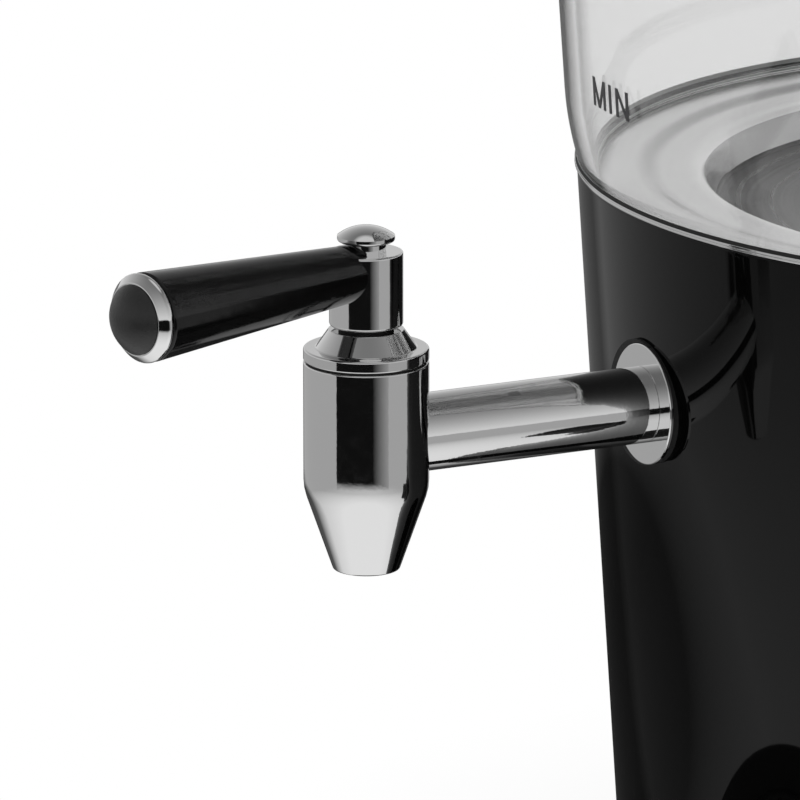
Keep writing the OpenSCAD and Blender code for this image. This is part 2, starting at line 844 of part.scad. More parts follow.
module bonnet_seal() {
    color("#0c0c0c") at_valve() tube(valve_r - 0.5, chamber_r, valve_top, bonnet_z);
}

module valve_bonnet() {
    color(chrome) at_valve() turned([[stem_r + run_c, bonnet_z - bonnet_spigot_l],
        [chamber_r - run_c, bonnet_z - bonnet_spigot_l], [chamber_r - run_c, bonnet_z], [valve_r, bonnet_z],
        [valve_r, bonnet_top - fine_c], [valve_r - fine_c, bonnet_top], [bonnet_cone_r, bonnet_top],
        [bonnet_neck_r, bonnet_top + bonnet_cone_h], [stem_r + run_c, bonnet_top + bonnet_cone_h]]);
}

module valve_plug() {
    groove_h = 2 * ring_wire_r + 0.1;
    groove_r = chamber_r - 2 * ring_wire_r - run_c;
    color("#c9b27a") at_lever() difference() {
        union() {
            rod(chamber_r - run_c, plug_foot, plug_top);
            rod(stem_r, plug_top - past, hub_z + stem_in_hub);
        }
        rod(port_r, plug_foot - past, port_r);
        rotate([0, 90, 0]) rod(port_r, 0, chamber_r + past);
        for (z = ring_heights) tube(chamber_r + past, groove_r, z - groove_h / 2, z + groove_h / 2);
    }
}

module plug_rings() {
    color("#101010") at_lever() for (z = ring_heights)
        translate([0, 0, z]) rotate_extrude()
            translate([chamber_r - run_c - ring_wire_r, 0]) circle(r = ring_wire_r);
}

// Lever
module neck_ring() {
    color("#0c0c0c") at_lever() tube(neck_ring_r, stem_r + run_c, neck_ring_z, neck_ring_z + neck_ring_t);
}

module grip_cone(grow, from, to) {
    translate([0, 0, from]) cylinder(r1 = grip_r(from) + grow, r2 = grip_r(to) + grow, h = to - from);
}

module lever_hub() {
    top = hub_z + hub_h;
    color(chrome) difference() {
        at_lever() turned([[0, hub_z], [hub_r - hub_chamfer, hub_z], [hub_r, hub_z + hub_chamfer],
            [hub_r, top - fine_c], [hub_r - fine_c, top], [0, top]]);
        at_lever() rod(stem_r + run_c, hub_z - past, hub_z + stem_in_hub + run_c);
        at_lever() rod(hub_peg_r + run_c, top - hub_peg_l, top + past);
        at_grip() rod(rod_r + run_c, -hub_r + 2, hub_r);
        at_grip() grip_cone(run_c, grip_start, hub_r + past);
    }
}

module lever_rod() {
    color(steel) at_grip() rod(rod_r, -hub_r + 2, grip_end);
}

module lever_grip() {
    edge = 0.5;
    color(black_gloss) at_grip() turned([[rod_r + run_c, grip_start], [grip_r(grip_start), grip_start],
        [grip_r(grip_end - edge), grip_end - edge], [grip_r(grip_end) - edge, grip_end],
        [rod_r + run_c, grip_end]]);
}

module grip_ring() {
    out = grip_r(grip_end);
    plug = end_cap_r - 1.8;
    tip = grip_end + ring_l;
    color(chrome) at_grip() turned(concat([[plug + run_c, grip_end], [out - 0.6, grip_end]],
        arc(out - 0.8, grip_end + 0.9, 0.8, -60, 45),
        [[end_cap_r + 0.7, tip - 0.4], [end_cap_r + 0.3, tip], [end_cap_r + run_c, tip],
        [end_cap_r + run_c, tip - 1], [plug + run_c, tip - 1]]));
}

module grip_end_cap() {
    seat = grip_end + ring_l - 1;
    rim = 1.2;
    dome_h = end_cap_h - rim;
    dome_r = (end_cap_r * end_cap_r + dome_h * dome_h) / (2 * dome_h);
    half = asin(end_cap_r / dome_r);
    color(black_matte) at_grip() turned(concat([[0, grip_end + 0.2], [end_cap_r - 1.8, grip_end + 0.2],
        [end_cap_r - 1.8, seat], [end_cap_r, seat]],
        arc(0, seat + end_cap_h - dome_r, dome_r, 90 - half, 90, 10)));
}

module hub_cap() {
    top = hub_z + hub_h;
    rim_z0 = top + hub_neck_h;
    dome_h = hub_cap_h - hub_neck_h - 1;
    dome_r = (hub_cap_r * hub_cap_r + dome_h * dome_h) / (2 * dome_h);
    half = asin(hub_cap_r / dome_r);
    color(chrome) at_lever() turned(concat([[0, top - hub_peg_l], [hub_peg_r, top - hub_peg_l],
        [hub_peg_r, top], [hub_neck_r, top], [hub_neck_r, rim_z0], [hub_cap_r - 0.8, rim_z0],
        [hub_cap_r, rim_z0 + 0.6]], arc(0, rim_z0 + 1 + dome_h - dome_r, dome_r, 90 - half, 90, 8)));
}

// Controls
module knob_bezel() {
    edge = 0.8;
    color(black_matte) difference() {
        radial(dial_az, dial_z) turned([[shaft_hole_r, dial_wall - reach], [bezel_r, dial_wall - reach],
            [bezel_r, bezel_face - edge], [bezel_r - edge, bezel_face], [shaft_hole_r, bezel_face]]);
        body_cone(0);
    }
}

module control_bracket() {
    color(steel) intersection() {
        radial(dial_az, dial_z) difference() {
            block(bracket_w, bracket_h, bracket_face, dial_wall);
            rod(bush_r + fit_c, bracket_face - past, dial_wall + past);
        }
        body_cone(shell_t);
    }
}

module thermostat() {
    color("#e4e0d2") radial(dial_az, dial_z) difference() {
        union() {
            block(thermostat_w, thermostat_h, bracket_face - thermostat_d, bracket_face);
            rod(bush_r, bracket_face - past, dial_wall - shell_t - 1.5);
        }
        rod(shaft_r + run_c, bracket_face - thermostat_d + 4, dial_wall);
    }
}

module knob_shaft() {
    color(steel) radial(dial_az, dial_z) rod(shaft_r, bracket_face - thermostat_d + 4.5, dial_back + shaft_l);
}

module control_knob() {
    skirt = 3;
    grip = dial_r - 2.5;
    front = dial_back + dial_h;
    color(black_gloss) radial(dial_az, dial_z) difference() {
        union() {
            turned([[0, dial_back], [dial_r, dial_back], [dial_r, dial_back + skirt - 0.5],
                [dial_r - 0.5, dial_back + skirt], [grip, dial_back + skirt], [grip - 1, front - 1],
                [grip - 2, front], [0, front]]);
            translate([-1.2, 0, dial_back]) cube([2.4, grip - 0.6, dial_h + 0.8]);
        }
        rod(shaft_r + run_c, dial_back - past, dial_back + shaft_l + run_c);
        rod(knob_cap_r + run_c, front - knob_cap_t, front + 2 * past);
    }
}

module knob_cap() {
    front = dial_back + dial_h;
    color(chrome) radial(dial_az, dial_z) turned([[0, front - knob_cap_t], [knob_cap_r, front - knob_cap_t],
        [knob_cap_r, front - 0.2], [knob_cap_r - 0.4, front + 0.2], [0, front + 0.4]]);
}

module button_bezel() {
    edge = 0.5;
    color(chrome) difference() {
        union() {
            difference() {
                radial(button_az, button_z) turned([[0, button_wall - 6], [button_flange_r, button_wall - 6],
                    [button_flange_r, button_face - edge], [button_flange_r - edge, button_face],
                    [0, button_face]]);
                body_cone(0);
            }
            radial(button_az, button_z) rod(barrel_r, barrel_end, button_face - edge);
        }
        radial(button_az, button_z) rod(button_r + fit_c, barrel_end - past, button_face + past);
    }
}

module button_nut() {
    color(black_matte) intersection() {
        radial(button_az, button_z) tube(button_flange_r, barrel_r + run_c, button_wall - 6, button_wall);
        body_cone(shell_t);
    }
}

module power_button() {
    edge = 0.6;
    color(black_gloss) radial(button_az, button_z) {
        turned([[0, button_back], [button_r, button_back], [button_r, button_front - edge],
            [button_r - edge, button_front], [0, button_front - 0.4]]);
        rod(plunger_r, button_back - plunger_l, button_back + past);
    }
}

module switch_body() {
    color("#26282c") radial(button_az, button_z) {
        block(switch_w, switch_w, barrel_end - switch_d, barrel_end);
        for (side = [-1, 1])
            translate([side * switch_w / 4, 0, 0])
                block(tab_t, tab_w, barrel_end - switch_d - tab_l, barrel_end - switch_d + past);
    }
}

module lamp_bezel() {
    edge = 0.4;
    color(chrome) difference() {
        radial(button_az, lamp_z) turned([[lamp_r + run_c, lamp_wall - 4], [lamp_flange_r, lamp_wall - 4],
            [lamp_flange_r, lamp_face - edge], [lamp_flange_r - edge, lamp_face],
            [lamp_r + run_c, lamp_face]]);
        difference() {
            body_cone(0);
            radial(button_az, lamp_z) rod(lamp_barrel_r, lamp_wall - 6, lamp_wall + 6);
        }
    }
}

module lamp_lens() {
    dome = 1.2;
    dome_r = (lamp_r * lamp_r + dome * dome) / (2 * dome);
    half = asin(lamp_r / dome_r);
    color("#c0442c") radial(button_az, lamp_z) turned(concat([[0, lamp_tail], [lamp_r, lamp_tail]],
        arc(0, lamp_face + 0.4 + dome - dome_r, dome_r, 90 - half, 90, 6)));
}

module power_inlet() {
    color(black_matte) difference() {
        union() {
            difference() {
                radial(180, inlet_z) block(inlet_w, inlet_h, inlet_wall - reach, inlet_face);
                body_cone(0);
            }
            radial(180, inlet_z)
                block(inlet_body_w, inlet_body_h, inlet_wall - inlet_body_d, inlet_face - fine_c);
        }
        radial(180, inlet_z) {
            block(inlet_socket_w, inlet_socket_h, inlet_wall - inlet_socket_d, inlet_face + past);
            blade_slots(blade_w + 2 * run_c, blade_h + 2 * run_c,
                inlet_wall - inlet_body_d - past, inlet_wall);
        }
    }
}

module blade_slots(w, h, from, to) {
    for (i = [-1, 0, 1])
        translate([i * blade_step, i == 0 ? blade_rise : -blade_rise, 0]) block(w, h, from, to);
}

module inlet_pins() {
    color("#b59a55") radial(180, inlet_z)
        blade_slots(blade_w, blade_h, inlet_wall - inlet_body_d - blade_tail, inlet_wall - 4);
}

// Drip tray
module drip_tray() {
    fall_top = tray_h - tray_fall;
    under = sump_r + tray_t;
    color(black_matte) {
        translate([0, -valve_reach, 0]) turned([[tray_r - tray_t, 0], [tray_r, 0],
            [tray_r, tray_h - tray_edge],
            [tray_r - tray_edge, tray_h], [grille_seat_r, fall_top], [grille_seat_r, grille_z],
            [sump_r, grille_z], [sump_r, sump_floor], [0, sump_floor], [0, sump_floor - tray_t],
            [under, sump_floor - tray_t], [under, grille_z - 0.3], [tray_r - tray_t, fall_top + 1.5]]);
        difference() {
            translate([-tongue_w / 2, -valve_reach + tray_r / 2, 0])
                cube([tongue_w, valve_reach - tray_r / 2 - tongue_end, tongue_h]);
            translate([0, -valve_reach, 0]) rod(tray_r - tray_t / 2, -past, tongue_h + past);
        }
    }
}

module drip_grille() {
    color(steel) translate([0, -valve_reach, 0]) difference() {
        rod(grille_r, grille_z, grille_z + grille_t);
        for (i = [0:grille_slots - 1]) {
            x = (i - (grille_slots - 1) / 2) * grille_step;
            half = sqrt(pow(grille_r - grille_edge, 2) - x * x);
            translate([x, 0, 0]) block(grille_slot_w, 2 * half, grille_z - past, grille_z + grille_t + past);
        }
    }
}

outer_shell();
plinth();
base_plate();
foot_ring();
rim_ring();
tie_studs();
stud_nuts();
shield_nuts();
heat_shield();
boiler_pan();
glass_seal();
glass_tank();
tank_rim();
lid_plate();
lid_seal();
lid_lugs();
infuser_basket();
infuser_cap();
cap_knob();
cap_knob_ring();
cap_screw();
heater_plate();
heating_element();
thermal_cutout();
drain_nipple();
outlet_hose();
hose_clips();
tap_gasket();
tap_flange();
tap_pipe();
tap_washer();
tap_locknut();
valve_body();
bonnet_seal();
valve_bonnet();
valve_plug();
plug_rings();
neck_ring();
lever_hub();
lever_rod();
lever_grip();
grip_ring();
grip_end_cap();
hub_cap();
knob_bezel();
control_bracket();
thermostat();
knob_shaft();
control_knob();
knob_cap();
button_bezel();
button_nut();
power_button();
switch_body();
lamp_bezel();
lamp_lens();
power_inlet();
inlet_pins();
drip_tray();
drip_grille();
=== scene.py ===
"""Electric tea maker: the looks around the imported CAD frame.

Sizes are in millimetres in the classes and become metres in the meshes. The frame is the CAD's own: the
origin lies on the body's axis at the table, +Z is up and the tap points along -Y.
"""
from __future__ import annotations

import json
import logging
import math
from dataclasses import dataclass, field
from enum import Enum
from typing import Any, Iterable, Sequence

import bmesh
import bpy
from mathutils import Matrix, Vector

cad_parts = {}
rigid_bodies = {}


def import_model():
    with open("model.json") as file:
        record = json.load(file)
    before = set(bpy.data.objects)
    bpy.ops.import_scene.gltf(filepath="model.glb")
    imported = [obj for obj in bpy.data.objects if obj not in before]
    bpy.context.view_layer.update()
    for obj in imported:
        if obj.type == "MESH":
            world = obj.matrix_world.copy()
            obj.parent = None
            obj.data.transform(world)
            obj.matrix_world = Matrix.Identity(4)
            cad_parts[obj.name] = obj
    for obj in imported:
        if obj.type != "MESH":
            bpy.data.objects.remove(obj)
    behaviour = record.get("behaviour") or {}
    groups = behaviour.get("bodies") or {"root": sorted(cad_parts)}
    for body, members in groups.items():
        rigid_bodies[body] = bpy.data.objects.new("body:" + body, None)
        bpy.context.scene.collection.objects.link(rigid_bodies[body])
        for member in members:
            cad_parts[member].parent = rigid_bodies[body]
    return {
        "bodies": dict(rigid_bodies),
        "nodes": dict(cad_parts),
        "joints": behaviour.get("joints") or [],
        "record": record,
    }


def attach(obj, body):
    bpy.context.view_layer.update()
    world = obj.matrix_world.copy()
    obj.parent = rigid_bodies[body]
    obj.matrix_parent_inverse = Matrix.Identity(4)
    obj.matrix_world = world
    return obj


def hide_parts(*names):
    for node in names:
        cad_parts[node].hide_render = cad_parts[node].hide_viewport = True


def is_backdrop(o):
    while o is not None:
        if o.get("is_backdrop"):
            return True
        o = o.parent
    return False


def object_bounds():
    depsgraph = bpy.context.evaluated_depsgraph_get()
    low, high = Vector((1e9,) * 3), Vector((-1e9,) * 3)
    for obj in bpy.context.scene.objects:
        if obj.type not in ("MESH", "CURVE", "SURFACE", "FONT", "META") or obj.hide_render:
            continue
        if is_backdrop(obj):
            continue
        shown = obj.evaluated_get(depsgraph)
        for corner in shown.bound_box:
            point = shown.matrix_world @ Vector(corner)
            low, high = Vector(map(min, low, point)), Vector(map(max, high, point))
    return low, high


LOG = logging.getLogger("tea_maker")
MM = 0.001
WHITE = "#ffffff"

# Height of the shell's edge and reach of the valve's axis, which several sub-assemblies share
RIM_Z = 148.0
TAP_REACH = 153.3

# Faces round a slim piece, a piece as wide as the body, and a drilled hole
TURN_STEPS = 160
WIDE_STEPS = 256
HOLE_STEPS = 48
# Straight pieces in the rounding of a right angle and in a dome
ARC_STEPS = 6
DOME_STEPS = 12
# A bend below this gets no rounding, and edges above these are kept or softened
LEAST_BEND = 0.02
SHARP_ANGLE = math.radians(32)
EDGE_ANGLE = math.radians(50)
# Points closer than this are one: in a piece made here and in a CAD mesh, in metres, and at an axis, in millimetres
SAME_POINT = 1e-7
SAME_CAD_POINT = 1e-6
ON_AXIS = 1e-6
# The part of a noise that the gloss follows, and the names of a Map Range's limits
NOISE_SPAN = (0.3, 0.7)
SPAN = ("From Min", "From Max", "To Min", "To Max")

Point = tuple[float, float]
Spot = tuple[float, float, float]
Span = tuple[float, float, float, float]

# Strokes of the letters in a unit square, for marks that lie on a curve
STROKES: dict[str, list[tuple[Point, Point]]] = {
    "M": [((0, 0), (0, 1)), ((0, 1), (0.5, 0)), ((0.5, 0), (1, 1)), ((1, 1), (1, 0))],
    "I": [((0, 0), (0, 1))],
    "N": [((0, 0), (0, 1)), ((0, 1), (1, 0)), ((1, 0), (1, 1))],
    "A": [((0, 0), (0.5, 1)), ((0.5, 1), (1, 0)), ((0.2, 0.3), (0.8, 0.3))],
    "X": [((0, 0), (1, 1)), ((0, 1), (1, 0))],
}


class Ride(str, Enum):
    """The frame's bodies that carry pieces made here."""

    BASE = "base"
    LEVER = "tap_lever"
    LID = "lid"
    INFUSER = "infuser"
    COVER = "infuser_cover"
    DIAL = "dial"
    KEY = "power_key"


class Slot(str, Enum):
    """The record's slots for the finishes of pieces made here."""

    BLACK_GLOSS = "black_gloss"
    BLACK_PLASTIC = "black_plastic"
    CHROME = "chrome"
    GLASS = "glass"
    IVORY_PLASTIC = "ivory_plastic"
    LACQUER = "lacquer"
    STEEL = "steel"


def linear(colour: str) -> tuple[float, float, float, float]:
    """Turn an sRGB hex colour to linear light.

    Args:
        colour: Six hex digits after a hash sign.

    Returns:
        Red, green, blue and an alpha of 1.
    """
    parts = [int(colour[i:i + 2], 16) / 255 for i in (1, 3, 5)]
    bent = [p / 12.92 if p <= 0.04045 else ((p + 0.055) / 1.055) ** 2.4 for p in parts]
    return (bent[0], bent[1], bent[2], 1.0)


def put(tree: bpy.types.NodeTree, kind: str, inputs: dict[Any, Any] | None = None,
        **settings: Any) -> bpy.types.Node:
    """Add a node with its settings and links.

    Args:
        tree: The tree that takes the node.
        kind: The node's type name.
        inputs: Values or sockets for its inputs, by name or index.
        **settings: Properties of the node.

    Returns:
        The new node.
    """
    node = tree.nodes.new(kind)
    for name, value in settings.items():
        setattr(node, name, value)
    for key, value in (inputs or {}).items():
        if isinstance(value, bpy.types.NodeSocket):
            tree.links.new(value, node.inputs[key])
        else:
            node.inputs[key].default_value = value
    return node


def bare_tree(owner: bpy.types.Material | bpy.types.World) -> bpy.types.NodeTree:
    """Give a material or a world an empty node tree.

    Args:
        owner: The material or world.

    Returns:
        Its tree.
    """
    owner.use_nodes = True
    owner.node_tree.nodes.clear()
    return owner.node_tree


def add_object(name: str, data: bpy.types.ID) -> bpy.types.Object:
    """Put a new object in the scene.

    Args:
        name: The object's name.
        data: Its mesh, curve, camera or light.

    Returns:
        The new object.
    """
    made = bpy.data.objects.new(name, data)
    bpy.context.scene.collection.objects.link(made)
    return made


@dataclass(frozen=True)
class Finish:
    """A plain moulded surface, and the base of the other finishes."""

    name: str
    colour: str
    roughness: float = 0.4
    metallic: float = 0.0
    ior: float = 1.5
    specular: float = 0.5
    coat: float = 0.0
    grain_mm: float = 0.6
    grain: float = 0.05
    rough_swing: float = 0.08
    tint_swing: float = 0.06
    cloud_mm: float = 28.0

    def material(self) -> bpy.types.Material:
        """Build the material.

        Returns:
            The material, with its pattern led to height, gloss and tone.
        """
        made = bpy.data.materials.new(self.name)
        tree = bare_tree(made)
        shader = put(tree, "ShaderNodeBsdfPrincipled", {
            "Base Color": linear(self.colour), "Roughness": self.roughness, "Metallic": self.metallic,
            "Specular IOR Level": self.specular, "Coat Weight": self.coat,
        })
        if self.metallic < 0.5:
            shader.inputs["IOR"].default_value = self.ior
        self.pattern(tree, shader)
        put(tree, "ShaderNodeOutputMaterial", {"Surface": self.surface(tree, shader)})
        return made

    def surface(self, tree: bpy.types.NodeTree, shader: bpy.types.Node) -> bpy.types.NodeSocket:
        """The socket that the material shows."""
        return shader.outputs["BSDF"]

    def places(self, tree: bpy.types.NodeTree) -> bpy.types.NodeSocket:
        """Where the pattern is read, in millimetres.

        Args:
            tree: The material's tree.

        Returns:
            The socket with the place.
        """
        spot = put(tree, "ShaderNodeTexCoord")
        scaled = put(tree, "ShaderNodeVectorMath", {0: spot.outputs["Object"], "Scale": 1 / MM}, operation="SCALE")
        return scaled.outputs["Vector"]

    def pattern(self, tree: bpy.types.NodeTree, shader: bpy.types.Node) -> None:
        """Grain in the height, the gloss and a little in the tone.

        Args:
            tree: The material's tree.
            shader: Its Principled node.
        """
        at = self.places(tree)
        fine = put(tree, "ShaderNodeTexNoise", {"Vector": at, "Scale": 1 / self.grain_mm, "Detail": 3.0})
        broad = put(tree, "ShaderNodeTexNoise", {"Vector": at, "Scale": 1 / self.cloud_mm, "Detail": 2.0})
        self.spread(tree, shader, fine.outputs["Fac"], broad.outputs["Fac"])

    def spread(self, tree: bpy.types.NodeTree, shader: bpy.types.Node,
               fine: bpy.types.NodeSocket, broad: bpy.types.NodeSocket) -> None:
        """Lead a fine and a broad pattern to height, gloss and tone.

        Args:
            tree: The material's tree.
            shader: Its Principled node.
            fine: Pattern for the height and the gloss.
            broad: Pattern for the tone.
        """
        bump = put(tree, "ShaderNodeBump", {
            "Height": fine, "Strength": self.grain, "Distance": self.grain_mm * MM,
        })
        tree.links.new(bump.outputs["Normal"], shader.inputs["Normal"])
        gloss = put(tree, "ShaderNodeMapRange", {
            "Value": fine, "From Min": NOISE_SPAN[0], "From Max": NOISE_SPAN[1],
            "To Min": self.roughness * (1 - self.rough_swing), "To Max": self.roughness * (1 + self.rough_swing),
        })
        tree.links.new(gloss.outputs["Result"], shader.inputs["Roughness"])
        tone = linear(self.colour)
        low = tuple(c * (1 - self.tint_swing) for c in tone[:3]) + (1.0,)
        high = tuple(min(1.0, c * (1 + self.tint_swing)) for c in tone[:3]) + (1.0,)
        mix = put(tree, "ShaderNodeMix", {"Factor": broad, "A": low, "B": high}, data_type="RGBA")
        tree.links.new(mix.outputs["Result"], shader.inputs["Base Color"])


@dataclass(frozen=True)
class TurnedMetal(Finish):
    """Metal whose lines run in circles round an axis, as a lathe or a rotary brush leaves them."""

    centre_mm: Spot = (0.0, 0.0, 0.0)
    line_mm: float = 0.5
    drift: float = 0.02
    wander_mm: float = 14.0

    def pattern(self, tree: bpy.types.NodeTree, shader: bpy.types.Node) -> None:
        """Circles from the distance to the axis and from the height, broken up a little.

        Args:
            tree: The material's tree.
            shader: Its Principled node.
        """
        at = self.places(tree)
        moved = put(tree, "ShaderNodeVectorMath", {0: at, 1: self.centre_mm}, operation="SUBTRACT")
        parts = put(tree, "ShaderNodeSeparateXYZ", {"Vector": moved.outputs["Vector"]})
        flat = put(tree, "ShaderNodeCombineXYZ", {"X": parts.outputs["X"], "Y": parts.outputs["Y"]})
        reach = put(tree, "ShaderNodeVectorMath", {0: flat.outputs["Vector"]}, operation="LENGTH")
        run = put(tree, "ShaderNodeMath", {0: reach.outputs["Value"], 1: parts.outputs["Z"]}, operation="ADD")
        wander = put(tree, "ShaderNodeTexNoise", {"Vector": at, "Scale": 1 / self.wander_mm, "Detail": 1.0})
        bent = put(tree, "ShaderNodeMath", {
            0: wander.outputs["Fac"], 1: self.drift / self.line_mm, 2: run.outputs["Value"],
        }, operation="MULTIPLY_ADD")
        lines = put(tree, "ShaderNodeTexNoise", {
            "W": bent.outputs["Value"], "Scale": 1 / self.line_mm, "Detail": 3.0, "Roughness": 0.65,
        }, noise_dimensions="1D")
        self.spread(tree, shader, lines.outputs["Fac"], wander.outputs["Fac"])


@dataclass(frozen=True)
class SpunSheet(TurnedMetal):
    """Spun sheet with soft rings of another tone round its axis: rings of painted shade and of painted highlight,
    where the light falls on its curves.

    Each ring has its colour, then its inner, middle and outer radius in millimetres.
    """

    rings: tuple[tuple[str, float, float, float], ...] = ()

    def pattern(self, tree: bpy.types.NodeTree, shader: bpy.types.Node) -> None:
        """The turned lines, with each ring's colour fading in from its inner radius and out to its outer one.

        Args:
            tree: The material's tree.
            shader: Its Principled node.
        """
        super().pattern(tree, shader)
        level = put(tree, "ShaderNodeVectorMath", {0: self.places(tree), 1: (1.0, 1.0, 0.0)}, operation="MULTIPLY")
        reach = put(tree, "ShaderNodeVectorMath", {0: level.outputs["Vector"]}, operation="LENGTH")
        base = shader.inputs["Base Color"]
        # Each ring mixes in painted light: a darker colour is painted shade, a paler one a painted highlight
        for colour, inner, middle, outer in self.rings:
            rise, fall = (put(tree, "ShaderNodeMapRange", {
                "Value": reach.outputs["Value"], **dict(zip(SPAN, span)),
            }, interpolation_type="SMOOTHSTEP") for span in ((inner, middle, 0.0, 1.0), (middle, outer, 1.0, 0.0)))
            ring = put(tree, "ShaderNodeMath", {0: rise.outputs["Result"], 1: fall.outputs["Result"]},
                       operation="MULTIPLY")
            mix = put(tree, "ShaderNodeMix", {
                "Factor": ring.outputs["Value"], "A": base.links[0].from_socket, "B": linear(colour),
            }, data_type="RGBA")
            tree.links.new(mix.outputs["Result"], base)


@dataclass(frozen=True)
class ClearGlass(Finish):
    """Blown glass: clear, faintly grey, with painted shade along its edge, and it lets the lamps through to what it
    holds.
    """

    edge_colour: str = "#272727"
    edge_span: tuple[float, float] = (0.77, 0.88)

    def pattern(self, tree: bpy.types.NodeTree, shader: bpy.types.Node) -> None:
        """A slow wave in the wall, as blown glass has.

        Args:
            tree: The material's tree.
            shader: Its Principled node.
        """
        at = self.places(tree)
        wave = put(tree, "ShaderNodeTexNoise", {"Vector": at, "Scale": 1 / self.grain_mm, "Detail": 1.0})
        bump = put(tree, "ShaderNodeBump", {
            "Height": wave.outputs["Fac"], "Strength": self.grain, "Distance": MM,
        })
        tree.links.new(bump.outputs["Normal"], shader.inputs["Normal"])
        # Where the wall is seen edge-on the base colour turns dark: painted shade for the dark edge of the glass
        facing = put(tree, "ShaderNodeLayerWeight", {"Blend": 0.5})
        edge = put(tree, "ShaderNodeMapRange", {
            "Value": facing.outputs["Facing"], "From Min": self.edge_span[0], "From Max": self.edge_span[1],
        })
        tone = put(tree, "ShaderNodeMix", {
            "Factor": edge.outputs["Result"], "A": linear(self.colour), "B": linear(self.edge_colour),
        }, data_type="RGBA")
        tree.links.new(tone.outputs["Result"], shader.inputs["Base Color"])
        shader.inputs["Transmission Weight"].default_value = 1.0

    def surface(self, tree: bpy.types.NodeTree, shader: bpy.types.Node) -> bpy.types.NodeSocket:
        """Glass to the eye, clear to the lamps.

        Args:
            tree: The material's tree.
            shader: Its Principled node.

        Returns:
            The socket that the material shows.
        """
        path = put(tree, "ShaderNodeLightPath")
        clear = put(tree, "ShaderNodeBsdfTransparent", {"Color": linear(self.colour)})
        mixed = put(tree, "ShaderNodeMixShader", {
            0: path.outputs["Is Shadow Ray"], 1: shader.outputs["BSDF"], 2: clear.outputs["BSDF"],
        })
        return mixed.outputs["Shader"]


